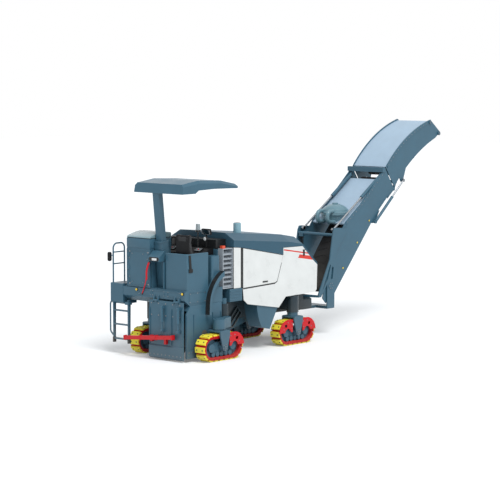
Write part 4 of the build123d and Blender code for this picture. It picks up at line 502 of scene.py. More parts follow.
# The milling drum is a bare steel tube with welded tool holders, polished and dusty from the cut.
# Each holder carries a round-shank pick with a carbide tip, driven in from the front.
CUT_STEEL = (0.23, 0.22, 0.21, 1)
PICK_STEEL = (0.36, 0.35, 0.34, 1)
PICK_ROWS = 14
PICK_STARTS = 4
PICK_LEAD = 21
DRUM_MIDDLE_Y = -0.400
DRUM_HALF = 0.494
HOLDER_R = 0.491
drum_steel, tree, shader = new_material("drum_steel", metallic=0.8)
film_on(tree, shader, CUT_STEEL, 0.6, 0.9, 0.5, 0.5)
dress(drum_steel, "milling_drum")
pick_steel, tree, shader = new_material("pick_steel", metallic=1.0)
film_on(tree, shader, PICK_STEEL, 0.3, 0.9, 0.36, 0.2)
shape = bmesh.new()
for row in range(PICK_ROWS):
    off_middle = row - (PICK_ROWS - 1) / 2
    y = DRUM_MIDDLE_Y + off_middle * (2 * DRUM_HALF - 0.060) / (PICK_ROWS - 1)
    lead = abs(off_middle) * PICK_LEAD
    for start in range(PICK_STARTS):
        angle = math.radians(lead + start * 360 / PICK_STARTS)
        outward = Vector((math.cos(angle), 0, math.sin(angle)))
        ahead = Vector((math.sin(angle), 0, -math.cos(angle)))
        root = Vector((DRUM_AXIS[0], y, DRUM_AXIS[1]))
        root += outward * (HOLDER_R - 0.022) + ahead * 0.031
        lean = (ahead * 0.85 + outward * 0.35).normalized()
        disc(shape, root - lean * 0.006, lean, 0.0165, 0.010, segments=14)
        disc(shape, root + lean * 0.004, lean, 0.0125, 0.016, 0.0085, segments=14)
        disc(shape, root + lean * 0.020, lean, 0.0085, 0.012, 0.0015, segments=14)
finish_piece("picks", shape, pick_steel, "drum", 30)

# Scraper: plate with a bolted wear blade below, two cylinders, and the red bar that keeps
# people off it, which ends in black rubber grips.
BLADE_FACE_X = -4.791
PLATE_FACE_X = -4.769
dress(slate_low, "scraper")
bar_red = painted("bar_red", GUARD_RED, dusty=0.08, coat=0.05)
dress(bar_red, "rear_bar")
spots = [((BLADE_FACE_X, -0.84 + number * 0.11, 0.12), (-1, 0, 0)) for number in range(9)]
for z in (0.95, 1.20):
    spots += [((PLATE_FACE_X, -0.80 + number * 0.205, z), (-1, 0, 0)) for number in range(5)]
bolts("scraper_bolts", spots, 0.010, plated, "scraper")

# Rear body: painted plate doors and covers over pumps and valves. The curved guard over the
# swinging leg carries a black rubber edge along its rim.
GUARD_INNER_Y = -0.925
RIM_RUBBER = (0.014, 0.015, 0.016, 1)
BODY_REAR_X = -4.735
BODY_SIDE_Y = -0.900
dress(slate_paint, "service_boxes", "primary_conveyor")
material, tree, shader = new_material("rear_body", coat=0.1)
place = own_place(tree)
rim_mask = math_node(tree, "LESS_THAN", math_node(tree, "ABSOLUTE", own_facing(tree)["Y"]), 0.5)
outside = math_node(tree, "LESS_THAN", place["Y"], GUARD_INNER_Y)
rim_mask = math_node(tree, "MULTIPLY", rim_mask, outside)
film_on(tree, shader, tint_mix(tree, rim_mask, SLATE, RIM_RUBBER), 0.12, 1.6, 0.34)
dress(material, "rear_body")
spots = []
for y in (-0.59, -0.15, 0.25):
    for out in (-0.165, 0.165):
        for up in (-0.045, 0.045):
            spots.append(((BODY_REAR_X, y + out, 1.405 + up), (-1, 0, 0)))
for x in (-0.23, 0, 0.23):
    for up in (-0.09, 0.09):
        spots.append(((-4.3375 + x, BODY_SIDE_Y, 1.34 + up), (0, -1, 0)))
bolts("body_bolts", spots, 0.0085, plated, "chassis")

# Side panels and flaps: white moulded covers. Black weather strips close every seam, and two red
# stripes run forward under the hood's edge.
PANEL_WHITE = (0.74, 0.76, 0.75, 1)
STRIPE_RED = (0.66, 0.035, 0.018, 1)
SEAL_BLACK = (0.010, 0.011, 0.012, 1)
STRIPES = (((-1.560, 2.123), (-0.70, 1.984), (-0.70, 2.013), (-1.553, 2.152)),
           ((-1.073, 1.925), (-0.56, 1.842), (-0.56, 1.925), (-1.021, 1.999)))
SEAL_Y = 0.9045
SEAL_POST = ((-2.990, 1.418), (-2.913, 1.407), (-2.913, 2.300), (-2.990, 2.310))
SEAL_RUNS = (((-2.913, 1.407), (-1.850, 1.437), 0.024), ((-1.850, 1.437), (-1.783, 1.472), 0.016),
             ((-1.783, 1.472), (-1.637, 1.860), 0.008))
LATCH_Y = 0.9165


def half_plane(tree, place, start, end):
    """1 on the left of a line from start to end, in X and Z."""
    run = Vector((end[0] - start[0], end[1] - start[1])).normalized()
    across = math_node(tree, "MULTIPLY", math_node(tree, "SUBTRACT", place["X"], start[0]), -run.y)
    above = math_node(tree, "MULTIPLY", math_node(tree, "SUBTRACT", place["Z"], start[1]), run.x)
    return ramp(tree, math_node(tree, "ADD", across, above), -0.0006, 0.0006)


def patch(tree, place, corners):
    """1 inside a convex outline in X and Z, corners running anticlockwise."""
    inside = half_plane(tree, place, corners[-1], corners[0])
    for start, end in zip(corners, corners[1:]):
        inside = math_node(tree, "MULTIPLY", inside, half_plane(tree, place, start, end))
    return inside


for corner in ("right", "left"):
    material, tree, shader = new_material("side_panel_" + corner, coat=0.15)
    place = own_place(tree)
    thin, broad = (patch(tree, place, stripe) for stripe in STRIPES)
    colour = tint_mix(tree, math_node(tree, "MAXIMUM", thin, broad), PANEL_WHITE, STRIPE_RED)
    strip = patch(tree, place, SEAL_POST)
    for start, end, width in SEAL_RUNS:
        across = Vector((start[1] - end[1], end[0] - start[0])).normalized() * width
        band = ((start[0] - across.x, start[1] - across.y), (end[0] - across.x, end[1] - across.y),
                end, start)
        strip = math_node(tree, "MAXIMUM", strip, patch(tree, place, band))
    colour = tint_mix(tree, strip, colour, SEAL_BLACK)
    sunk = math_node(tree, "LESS_THAN", math_node(tree, "ABSOLUTE", place["Y"]), SEAL_Y)
    film_on(tree, shader, tint_mix(tree, sunk, colour, SEAL_BLACK), 0.06, 1.6, 0.3)
    dress(material, "side_panel_" + corner)
    material, tree, shader = new_material("flap_" + corner, coat=0.15)
    place = own_place(tree)
    depth = math_node(tree, "ABSOLUTE", place["Y"])
    dark = math_node(tree, "MAXIMUM", math_node(tree, "LESS_THAN", depth, SEAL_Y),
                     math_node(tree, "GREATER_THAN", depth, LATCH_Y))
    film_on(tree, shader, tint_mix(tree, dark, PANEL_WHITE, SEAL_BLACK), 0.06, 1.6, 0.3)
    dress(material, "engine_flap_" + corner)
dress(slate_paint, "tank_right", "tank_left")

# Engine hood: one long moulding in satin slate over the engine, with the black grille in front
# and the bulkhead behind it.
HOOD_SLATE = (0.036, 0.098, 0.146, 1)
hood_slate = painted("hood_slate", HOOD_SLATE, dusty=0, roughness=0.42, coat=0.04, specular=0.2)
dress(hood_slate, "hood")
dress(slate_paint, "rear_bulkhead")
dress(black_iron, "front_grille")

# Cooling stack behind the hood: a black radiator core in a slate case. Its louvre blades are
# pressed from pale sheet and riveted across each side.
LOUVRE_PLANE = 0.745
LOUVRE_PALE = (0.34, 0.38, 0.42, 1)
material, tree, shader = new_material("cooling_stack", coat=0.2)
place = own_place(tree)
blade = math_node(tree, "GREATER_THAN", math_node(tree, "ABSOLUTE", place["Y"]), LOUVRE_PLANE)
film_on(tree, shader, tint_mix(tree, blade, SEAL_BLACK, LOUVRE_PALE), 0.12, 1.6, 0.4)
dress(material, "cooling_stack")

# Operator's stand: plate walls with rubber edging, a tall cabinet, the mast guide and the
# boarding ladder, all in the same slate. Rubber blocks carry the ladder's lowest rung.
TREAD_TOP = 0.336
LADDER_Y = 0.985
FOOT_FROM = 0.19
EDGE_RUBBER = (0.016, 0.017, 0.018, 1)
PLASTIC_BLACK = (0.0055, 0.006, 0.0075, 1)
CABINET_REAR_X = -4.7365
dress(slate_paint, "cabinet", "canopy_mast")
material, tree, shader = new_material("ladder", coat=0.1)
place = own_place(tree)
foot = math_node(tree, "LESS_THAN", place["Z"], TREAD_TOP + 0.02)
outer = math_node(tree, "ABSOLUTE", math_node(tree, "SUBTRACT", place["Y"], LADDER_Y))
outer = math_node(tree, "GREATER_THAN", outer, FOOT_FROM)
rubber_foot = math_node(tree, "MULTIPLY", foot, outer)
film_on(tree, shader, tint_mix(tree, rubber_foot, SLATE, EDGE_RUBBER), 0.3, 1.2, 0.36)
dress(material, "ladder")
black_plastic = painted("black_plastic", PLASTIC_BLACK, dusty=0, roughness=0.5, coat=0,
                        specular=0.2)
rubber = painted("rubber", EDGE_RUBBER, dusty=0.2, dust_top=2.0, roughness=0.62, coat=0)
spots = []
for row_y, heights in (((0.17, 0.70), (1.56, 1.70, 2.10, 2.24)), ((0.30, 0.62), (1.60, 2.20))):
    spots += [((CABINET_REAR_X, y, z), (-1, 0, 0)) for y in row_y for z in heights]
bolts("cabinet_bolts", spots, 0.0075, plated, "chassis")

# Cabinet door furniture: three pressed steel hinges at one side, painted with the door, and
# four plated quarter-turn locks at its corners.
DOOR_X = -4.736
HINGE_Y = 0.735
shape = bmesh.new()
for z in (1.62, 1.90, 2.18):
    disc(shape, (DOOR_X, HINGE_Y, z - 0.045), (0, 0, 1), 0.010, 0.09, segments=16)
    disc(shape, (DOOR_X, HINGE_Y, z - 0.018), (0, 0, 1), 0.0112, 0.036, segments=16)
    for y, width in ((0.712, 0.034), (0.752, 0.022)):
        leaf = bmesh.ops.create_cube(shape, size=1.0)["verts"]
        bmesh.ops.scale(shape, vec=(0.006, width, 0.084), verts=leaf)
        bmesh.ops.translate(shape, vec=(DOOR_X - 0.001, y, z), verts=leaf)
finish_piece("door_hinges", shape, slate_paint, "chassis")
shape = bmesh.new()
for y, z in ((0.150, 2.240), (0.150, 1.560), (0.690, 2.240), (0.690, 1.560)):
    disc(shape, (DOOR_X, y, z), (-1, 0, 0), 0.018, 0.004, 0.016, 20)
    disc(shape, (DOOR_X - 0.004, y, z), (-1, 0, 0), 0.009, 0.005, 0.008, 6)
finish_piece("door_locks", shape, plated, "chassis")

# Cabinet top: a raised sheet steel box with a moulded glass-fibre lid, which rises from the rear
# edge to a long flat top. A black strip in the joint between them is a painted shadow of the lid's
# edge.
CROWN_REAR = -4.741
CROWN_FRONT = -4.079
CROWN_Y = (0.0935, 0.7765)
CROWN_LOW = 2.330
CROWN_JOINT = 2.528
SHADOW_STRIP_INSET = 0.012
LID_OVERHANG = 0.002
# The lid's pale blue-grey is a painted highlight, for the sky reflected on its top.
LID_SKY_HIGHLIGHT = (0.20, 0.32, 0.36, 1)


def prism(shape, outline, low_y, high_y, round_off=0.0, segments=3):
    """A closed body from a side outline of X and Z points, with its edges rounded."""
    rims = [[shape.verts.new((x, y, z)) for x, z in outline] for y in (low_y, high_y)]
    faces = [shape.faces.new(rims[0]), shape.faces.new(list(reversed(rims[1])))]
    for number in range(len(outline)):
        after = (number + 1) % len(outline)
        faces.append(shape.faces.new((rims[0][number], rims[1][number],
                                      rims[1][after], rims[0][after])))
    bmesh.ops.recalc_face_normals(shape, faces=faces)
    if round_off:
        edges = list({edge for face in faces for edge in face.edges})
        bmesh.ops.bevel(shape, geom=edges, offset=round_off, segments=segments, affect="EDGES",
                        profile=0.5)


shape = bmesh.new()
prism(shape, ((CROWN_REAR, CROWN_LOW), (CROWN_FRONT, CROWN_LOW), (CROWN_FRONT, CROWN_JOINT),
              (CROWN_REAR, CROWN_JOINT)), *CROWN_Y, 0.004, 2)
finish_piece("cabinet_crown", shape, slate_paint, "chassis")
# The black strip in the joint under the lid is painted shadow, standing for the shade in that gap.
shape = bmesh.new()
prism(shape, ((CROWN_REAR + SHADOW_STRIP_INSET, CROWN_JOINT - 0.001),
              (CROWN_FRONT - SHADOW_STRIP_INSET, CROWN_JOINT - 0.001),
              (CROWN_FRONT - SHADOW_STRIP_INSET, CROWN_JOINT + 0.014),
              (CROWN_REAR + SHADOW_STRIP_INSET, CROWN_JOINT + 0.014)),
      CROWN_Y[0] + SHADOW_STRIP_INSET, CROWN_Y[1] - SHADOW_STRIP_INSET)
finish_piece("cabinet_shadow_strip", shape, black_plastic, "chassis")
# The lid is painted pale blue-grey as a painted highlight, standing for the sky reflected on its
# top.
lid_highlight = painted("lid_highlight", LID_SKY_HIGHLIGHT, dusty=0, roughness=0.24, coat=0.5, specular=0.5)
shape = bmesh.new()
prism(shape, ((CROWN_REAR - LID_OVERHANG, CROWN_JOINT + 0.012), (CROWN_FRONT, CROWN_JOINT + 0.012),
              (CROWN_FRONT, 2.632), (-4.170, 2.652), (-4.330, 2.658), (-4.430, 2.650),
              (-4.560, 2.622), (-4.680, 2.588), (CROWN_REAR - LID_OVERHANG, 2.562)),
      CROWN_Y[0] - LID_OVERHANG, CROWN_Y[1] + LID_OVERHANG, 0.012)
finish_piece("cabinet_lid", shape, lid_highlight, "chassis")

# Treads: round lugs, punched up from the plate of the three rungs and the step box and plated,
# keep boots from slipping.
TREAD_X = -4.690
LUG_HEIGHT = 0.003
shape = bmesh.new()
for z in (0.344, 0.654, 0.954):
    for row in (-0.022, 0.0, 0.022):
        for number in range(15):
            disc(shape, (TREAD_X + row, 0.800 + number * 0.0265, z - 0.0002), (0, 0, 1),
                 0.0075, LUG_HEIGHT, 0.005, segments=10)
for row in range(9):
    for number in range(8):
        disc(shape, (TREAD_X + row * 0.042, 0.950 + number * 0.040, 1.5298), (0, 0, 1),
             0.010, LUG_HEIGHT, 0.007, segments=10)
finish_piece("tread_lugs", shape, plated, "chassis")

# Operator's seat: a sprung pedestal in rubber bellows, a crowned cushion and a tall backrest in a
# plastic shell, sewn in black cloth over foam with welted seams.
SEAT_Y = -0.625
SEAT_HALF = 0.190
SEAT_X = -4.190
CLOTH_CAP = 0.024
VOXEL = 0.006
SINK_WIDTH = 0.008
SINK_DEPTH = 0.008
WELT = 0.0042
WELT_STEP = 0.012
BLOW_FRAMES = 20
BLOW_FORCE = 4
CLOTH_DARK = (0.013, 0.014, 0.017, 1)
CLOTH_LIGHT = (0.034, 0.035, 0.038, 1)
seat_cloth, tree, shader = new_material("seat_cloth", roughness=0.85)
shader.inputs["Sheen Weight"].default_value = 0.25
cloth_place = tree.nodes.new("ShaderNodeTexCoord").outputs["Object"]
tree.links.new(tint_mix(tree, noise(tree, cloth_place, 9.0, 4.0), CLOTH_DARK, CLOTH_LIGHT),
               shader.inputs["Base Color"])
bump(tree, shader, noise(tree, cloth_place, 420.0, 1.0), 0.35, 0.0015)


def slab(shape, centre, size, round_off, segments=3):
    """A block with rounded edges, added to a bmesh."""
    made = bmesh.ops.create_cube(shape, size=1.0)["verts"]
    bmesh.ops.scale(shape, vec=size, verts=made)
    bmesh.ops.translate(shape, vec=centre, verts=made)
    edges = list({edge for vertex in made for edge in vertex.link_edges})
    bmesh.ops.bevel(shape, geom=edges, offset=round_off, segments=segments, affect="EDGES",
                    profile=0.5)


def settled(piece):
    """A mesh of the piece as its modifiers leave it."""
    bpy.context.view_layer.update()
    return bpy.data.meshes.new_from_object(
        piece.evaluated_get(bpy.context.evaluated_depsgraph_get()))


def cushion(name, outline, channels):
    """Blows the cloth over a foam form and presses sewn channels into it."""
    shape = bmesh.new()
    prism(shape, outline, SEAT_Y - SEAT_HALF, SEAT_Y + SEAT_HALF, 0.014)
    mesh = bpy.data.meshes.new(name)
    shape.to_mesh(mesh)
    shape.free()
    piece = bpy.data.objects.new(name, mesh)
    scene.collection.objects.link(piece)
    skin = piece.modifiers.new("skin", "REMESH")
    skin.mode = "VOXEL"
    skin.voxel_size = VOXEL
    tight = settled(piece)
    piece.modifiers.clear()
    piece.data = tight
    rest = [vertex.co.copy() for vertex in tight.vertices]
    cloth = piece.modifiers.new("cloth", "CLOTH")
    cloth.settings.use_pressure = True
    cloth.settings.uniform_pressure_force = BLOW_FORCE
    cloth.settings.effector_weights.gravity = 0
    cloth.point_cache.frame_start = 1
    cloth.point_cache.frame_end = BLOW_FRAMES
    for number in range(1, BLOW_FRAMES + 1):
        scene.frame_set(number)
    blown = settled(piece)
    piece.modifiers.clear()
    piece.data = blown
    scene.frame_set(1)
    for vertex, start in zip(blown.vertices, rest):
        move = vertex.co - start
        if move.length > CLOTH_CAP:
            vertex.co = start + move.normalized() * CLOTH_CAP
    normals = [vertex.normal.copy() for vertex in piece.data.vertices]
    for vertex, normal in zip(piece.data.vertices, normals):
        near = min(abs(channel(vertex.co)) for channel in channels)
        vertex.co -= normal * SINK_DEPTH * math.exp(-(near / SINK_WIDTH) ** 2)
    for polygon in piece.data.polygons:
        polygon.use_smooth = True
    smooth = piece.modifiers.new("smooth", "SUBSURF")
    smooth.levels = 1
    smooth.render_levels = 1
    piece.data.materials.clear()
    piece.data.materials.append(seat_cloth)
    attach(piece, "chassis")
    return piece


def strand(name, lines, radius, material, body, closed=False):
    """Round strands along lines of points, as one piece."""
    curve = bpy.data.curves.new(name, "CURVE")
    curve.dimensions = "3D"
    curve.bevel_depth = radius
    curve.bevel_resolution = 3
    for points in lines:
        spline = curve.splines.new("POLY")
        spline.points.add(len(points) - 1)
        for target, point in zip(spline.points, points):
            target.co = (*point, 1)
        spline.use_cyclic_u = closed
    curve.use_fill_caps = not closed
    curve.materials.append(material)
    piece = bpy.data.objects.new(name, curve)
    scene.collection.objects.link(piece)
    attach(piece, body)


base_outline = ((-4.430, 1.958), (-3.995, 1.958), (-3.972, 1.990), (-3.980, 2.026), (-4.070, 2.044),
                (-4.290, 2.028), (-4.430, 2.022))
back_outline = ((-4.468, 2.064), (-4.345, 2.064), (-4.362, 2.240), (-4.400, 2.470), (-4.412, 2.630),
                (-4.438, 2.662), (-4.472, 2.662), (-4.486, 2.630), (-4.480, 2.300))
seat_base = cushion("seat_base", base_outline,
                    (lambda p: p.x + 4.130, lambda p: p.x + 4.270,
                     lambda p: abs(p.y - SEAT_Y) - 0.120))
seat_back = cushion("seat_back", back_outline,
                    (lambda p: p.z - 2.200, lambda p: p.z - 2.350, lambda p: p.z - 2.500,
                     lambda p: abs(p.y - SEAT_Y) - 0.120))
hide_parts("seat")
for piece, outline in ((seat_base, base_outline), (seat_back, back_outline)):
    skin_tree = BVHTree.FromPolygons([vertex.co for vertex in piece.data.vertices],
                                     [polygon.vertices for polygon in piece.data.polygons])
    lines = []
    for side_y in (SEAT_Y - SEAT_HALF, SEAT_Y + SEAT_HALF):
        line = []
        for number, (x, z) in enumerate(outline):
            next_x, next_z = outline[(number + 1) % len(outline)]
            steps = max(2, round(math.hypot(next_x - x, next_z - z) / WELT_STEP))
            for step in range(steps):
                share = step / steps
                spot = Vector((x + (next_x - x) * share, side_y, z + (next_z - z) * share))
                found = skin_tree.find_nearest(spot)
                line.append(found[0] + found[1] * WELT * 0.3)
        lines.append(line)
    strand(piece.name + "_welts", lines, WELT, black_plastic, "chassis", closed=True)

# Seat frame: the backrest's moulded shell, the pan, its two slide rails and the recliner plates
# in black plastic and steel, over the pedestal's two square flanges.
SHELL_HALF = 0.182
RAIL_Y = 0.130
PLATE_OUT = 1.42
shape = bmesh.new()
prism(shape, ((-4.500, 2.040), (-4.470, 2.030), (-4.474, 2.300), (-4.480, 2.610),
              (-4.470, 2.640), (-4.492, 2.640), (-4.506, 2.600), (-4.512, 2.280)),
      SEAT_Y - SHELL_HALF, SEAT_Y + SHELL_HALF, 0.008)
slab(shape, (-4.212, SEAT_Y, 1.944), (0.440, 0.350, 0.022), 0.008)
for side_y in (-RAIL_Y, RAIL_Y):
    slab(shape, (-4.200, SEAT_Y + side_y, 1.917), (0.400, 0.034, 0.030), 0.005)
    plate_y = SEAT_Y + side_y * PLATE_OUT
    prism(shape, ((-4.500, 2.090), (-4.470, 2.090), (-4.360, 1.960), (-4.300, 1.960),
                  (-4.300, 1.935), (-4.380, 1.935), (-4.500, 2.050)),
          plate_y - 0.006, plate_y + 0.006, 0.002, 1)
slab(shape, (SEAT_X, SEAT_Y, 1.882), (0.320, 0.290, 0.040), 0.010)
slab(shape, (SEAT_X, SEAT_Y, 1.512), (0.320, 0.290, 0.022), 0.006)
slab(shape, (-3.995, SEAT_Y - 0.110, 1.925), (0.090, 0.018, 0.012), 0.005)
disc(shape, (-4.060, SEAT_Y - 0.148, 1.885), (0, -1, 0), 0.022, 0.026, 0.019)
finish_piece("seat_frame", shape, black_plastic, "chassis")

# Seat bellows: a square rubber boot, moulded in nine folds, that hides the suspension and is
# clamped between the two flanges.
BELLOWS = 9
FOLD_POINTS = 40
BELLOWS_FOOT = 1.522
BELLOWS_RISE = 0.342
SQUARENESS = 0.72
shape = bmesh.new()
rings = []
for level in range(2 * BELLOWS + 1):
    half_x = 0.140 if level % 2 else 0.118
    half_y = half_x - 0.016
    height = BELLOWS_FOOT + BELLOWS_RISE * level / (2 * BELLOWS)
    ring = []
    for number in range(FOLD_POINTS):
        angle = number * math.tau / FOLD_POINTS
        corner_pull = 1 / max(abs(math.cos(angle)), abs(math.sin(angle))) ** SQUARENESS
        ring.append(shape.verts.new((SEAT_X + half_x * math.cos(angle) * corner_pull,
                                     SEAT_Y + half_y * math.sin(angle) * corner_pull, height)))
    rings.append(ring)
for low, high in zip(rings, rings[1:]):
    for number in range(FOLD_POINTS):
        after = (number + 1) % FOLD_POINTS
        shape.faces.new((low[number], low[after], high[after], high[number]))
finish_piece("seat_bellows", shape, rubber, "chassis", 50)

# Stand walls and the mast's guide: folded plate in bare slate. The guide's rear face has an
# oval recess in black rubber round its lamp.
GUIDE_REAR_X = -4.790
RECESS_Y = -0.075
RECESS_HALF = 0.105
RECESS_Z = 2.124
RECESS_R = 0.041
dress(slate_paint, "platform")
material, tree, shader = new_material("mast_guide", coat=0.1)
place = own_place(tree)
rear_face = math_node(tree, "LESS_THAN", place["X"], GUIDE_REAR_X)
off_y = math_node(tree, "ABSOLUTE", math_node(tree, "SUBTRACT", place["Y"], RECESS_Y))
off_y = math_node(tree, "MAXIMUM", math_node(tree, "SUBTRACT", off_y, RECESS_HALF), 0.0)
off_z = math_node(tree, "SUBTRACT", place["Z"], RECESS_Z)
dark = math_node(tree, "LESS_THAN", span(tree, off_y, off_z), RECESS_R)
dark = math_node(tree, "MULTIPLY", rear_face, dark)
film_on(tree, shader, tint_mix(tree, dark, SLATE, EDGE_RUBBER), 0.06, 1.6, 0.36)
dress(material, "mast_guide")

# Straps at the stand: a black tie strap over the right wall and a red pull strap below the lamp,
# both of woven webbing, clamped at their ends under small bolted plates.
SADDLE_R = 0.0245
TIE_HALF = 0.034
TIE_THICK = 0.005
PULL_THICK = 0.004
STRAP_RED = (0.62, 0.012, 0.022, 1)
PULL_ENDS = ((-4.799, 0.057, 2.060), (-4.742, 0.327, 1.355))


def webbing(shape, line, across, half_width, thick):
    """A woven band along a line of points, as a closed strip."""
    across = Vector(across).normalized()
    points = [Vector(point) for point in line]
    loops = []
    for number, point in enumerate(points):
        run = points[min(number + 1, len(points) - 1)] - points[max(number - 1, 0)]
        lift = run.cross(across).normalized() * thick / 2
        loops.append([shape.verts.new(point + across * side * half_width + lift * face)
                      for side, face in ((-1, -1), (1, -1), (1, 1), (-1, 1))])
    for low, high in zip(loops, loops[1:]):
        for number in range(4):
            after = (number + 1) % 4
            shape.faces.new((low[number], low[after], high[after], high[number]))
    shape.faces.new(loops[0])
    shape.faces.new(list(reversed(loops[-1])))
    bmesh.ops.recalc_face_normals(shape, faces=shape.faces[:])


shape = bmesh.new()
saddle = [(-4.575, -0.866 - SADDLE_R * math.sin(number * math.pi / 16) - 0.004,
           2.245 + SADDLE_R * math.cos(number * math.pi / 16)) for number in range(-2, 9)]
hang = [(-4.573, -0.902, 2.20), (-4.566, -0.9045, 2.10), (-4.556, -0.903, 2.01),
        (-4.548, -0.900, 1.955)]
webbing(shape, saddle + hang, (1, 0, 0), TIE_HALF, TIE_THICK)
webbing(shape, [(-4.575, -0.857, 2.262), (-4.577, -0.845, 2.20), (-4.580, -0.846, 2.05)],
        (1, 0, 0), TIE_HALF, TIE_THICK)
slab(shape, (-4.545, -0.902, 1.912), (0.120, 0.022, 0.078), 0.008)
finish_piece("tie_strap", shape, rubber, "chassis")
red_webbing = painted("red_webbing", STRAP_RED, dusty=0.1, roughness=0.7, coat=0)
shape = bmesh.new()
webbing(shape, [(-4.799, 0.057, 2.056), (-4.799, 0.092, 1.990), (-4.799, 0.125, 1.900),
                (-4.799, 0.140, 1.800), (-4.797, 0.135, 1.720), (-4.795, 0.152, 1.670)],
        (0, 0.96, 0.28), 0.024, PULL_THICK)
webbing(shape, [(-4.797, 0.150, 1.680), (-4.785, 0.185, 1.600), (-4.768, 0.225, 1.530),
                (-4.752, 0.278, 1.440), (-4.743, 0.327, 1.357)], (0, 0.86, 0.5), 0.012, PULL_THICK)
finish_piece("pull_strap", shape, red_webbing, "chassis")
shape = bmesh.new()
for end in PULL_ENDS:
    slab(shape, end, (0.012, 0.040, 0.030), 0.003)
finish_piece("pull_strap_clamps", shape, black_plastic, "chassis")
bolts("clamp_bolts", [((x - 0.006, y, z), (-1, 0, 0)) for x, y, z in PULL_ENDS],
      0.006, plated, "chassis")

# Hood latches: a moulded rubber pull on each side, hooked over a lug, holds the hood's edge
# down over the stripes.
HOOD_LATCH_X = -0.876
shape = bmesh.new()
for side_y in (-1, 1):
    slab(shape, (HOOD_LATCH_X, side_y * 0.9215, 2.020), (0.052, 0.013, 0.120), 0.005)
    slab(shape, (HOOD_LATCH_X, side_y * 0.9290, 1.975), (0.034, 0.016, 0.026), 0.006)
    slab(shape, (HOOD_LATCH_X, side_y * 0.9230, 2.085), (0.066, 0.018, 0.022), 0.006)
finish_piece("hood_latches", shape, rubber, "chassis")

# Canopy: one glass-fibre moulding in satin slate, bolted through its bows to the mast head. Its
# faces that look downward are painted near black.
UNDERSIDE_DARK = (0.022, 0.026, 0.030, 1)
DOWNWARD_FROM = -0.35
material, tree, shader = new_material("canopy", coat=0.12, specular=0.24)
# Faces that look downward are painted near black.
faces_down = math_node(tree, "LESS_THAN", own_facing(tree)["Z"], DOWNWARD_FROM)
film_on(tree, shader, tint_mix(tree, faces_down, SLATE, UNDERSIDE_DARK), 0, 1, 0.36)
dress(material, "canopy")

# Operator's console: moulded desk with three key pads, two grab sticks, a grab bar and the
# display, which is a sheet of dark glass in a black frame.
DISPLAY_PLACE = (-3.620, -0.500, 2.650)
DISPLAY_TILT = -12
PAD_TILT = -28
PAD_X = -3.735
PAD_Z = 2.252
PAD_PLACES_Y = (-0.38, 0, 0.38)
SCREEN_DARK = (0.010, 0.022, 0.030, 1)
KEY_GREY = (0.30, 0.33, 0.35, 1)
dress(black_plastic, "console")
screen_glass, tree, shader = new_material("screen_glass", roughness=0.08, coat=0.5, specular=0.5)
shader.inputs["Base Color"].default_value = SCREEN_DARK
key_plastic = painted("key_plastic", KEY_GREY, dusty=0, roughness=0.5, coat=0)
key_red = painted("key_red", GUARD_RED, dusty=0, roughness=0.4, coat=0.1)


def tilted(place, degrees):
    """A matrix at a place, turned about Y."""
    return Matrix.Translation(Vector(place)) @ Matrix.Rotation(math.radians(degrees), 4, "Y")


def local_slab(shape, place, centre, size, round_off):
    """A rounded block set in a tilted place."""
    before = set(shape.verts)
    slab(shape, centre, size, round_off, 2)
    bmesh.ops.transform(shape, matrix=place, verts=[v for v in shape.verts if v not in before])


display = tilted(DISPLAY_PLACE, DISPLAY_TILT)
shape = bmesh.new()
local_slab(shape, display, (-0.0258, 0, 0), (0.003, 0.196, 0.094), 0.001)
finish_piece("display_glass", shape, screen_glass, "chassis")
shape = bmesh.new()
for side_y in (-1, 1):
    local_slab(shape, display, (-0.027, side_y * 0.109, 0), (0.006, 0.014, 0.096), 0.002)
for number in range(5):
    local_slab(shape, display, (-0.0265, -0.072 + number * 0.036, -0.0535), (0.005, 0.020, 0.007),
               0.0015)
for pad_y in PAD_PLACES_Y:
    desk = tilted((PAD_X, pad_y, PAD_Z), PAD_TILT)
    for row in range(3):
        for number in range(5):
            if (row, number) != (1, 2):
                local_slab(shape, desk, ((row - 1) * 0.036, -0.068 + number * 0.034, 0.0215),
                           (0.022, 0.022, 0.007), 0.002)
finish_piece("keys", shape, key_plastic, "chassis")
shape = bmesh.new()
lean = Vector((math.sin(math.radians(PAD_TILT)), 0, math.cos(math.radians(PAD_TILT))))
for pad_y in PAD_PLACES_Y:
    spot = tilted((PAD_X, pad_y, PAD_Z), PAD_TILT) @ Vector((0, 0, 0.020))
    disc(shape, spot, lean, 0.010, 0.008, 0.010, 18)
    disc(shape, spot + lean * 0.008, lean, 0.016, 0.008, 0.013, 18)
finish_piece("stop_buttons", shape, key_red, "chassis")

# Exhaust stub: a bent steel tube, sooty inside, which slips over the silencer's outlet and stands
# through a hole in the hood. Its pale blue-grey is partly its paint and partly a painted highlight.
EXHAUST_AXIS = (-2.560, -0.430)
EXHAUST_BORE = 0.0735
EXHAUST_PAINT_AND_HIGHLIGHT = (0.25, 0.44, 0.52, 1)
SOOT = (0.006, 0.006, 0.006, 1)
material, tree, shader = new_material("exhaust", coat=0.3)
place = own_place(tree)
off_x = math_node(tree, "SUBTRACT", place["X"], EXHAUST_AXIS[0])
off_y = math_node(tree, "SUBTRACT", place["Y"], EXHAUST_AXIS[1])
sooty = math_node(tree, "LESS_THAN", span(tree, off_x, off_y), EXHAUST_BORE)
# Pale blue-grey outside: partly the tube's paint, partly a painted highlight along it.
film_on(tree, shader, tint_mix(tree, sooty, EXHAUST_PAINT_AND_HIGHLIGHT, SOOT), 0, 1, 0.3)
dress(material, "exhaust")

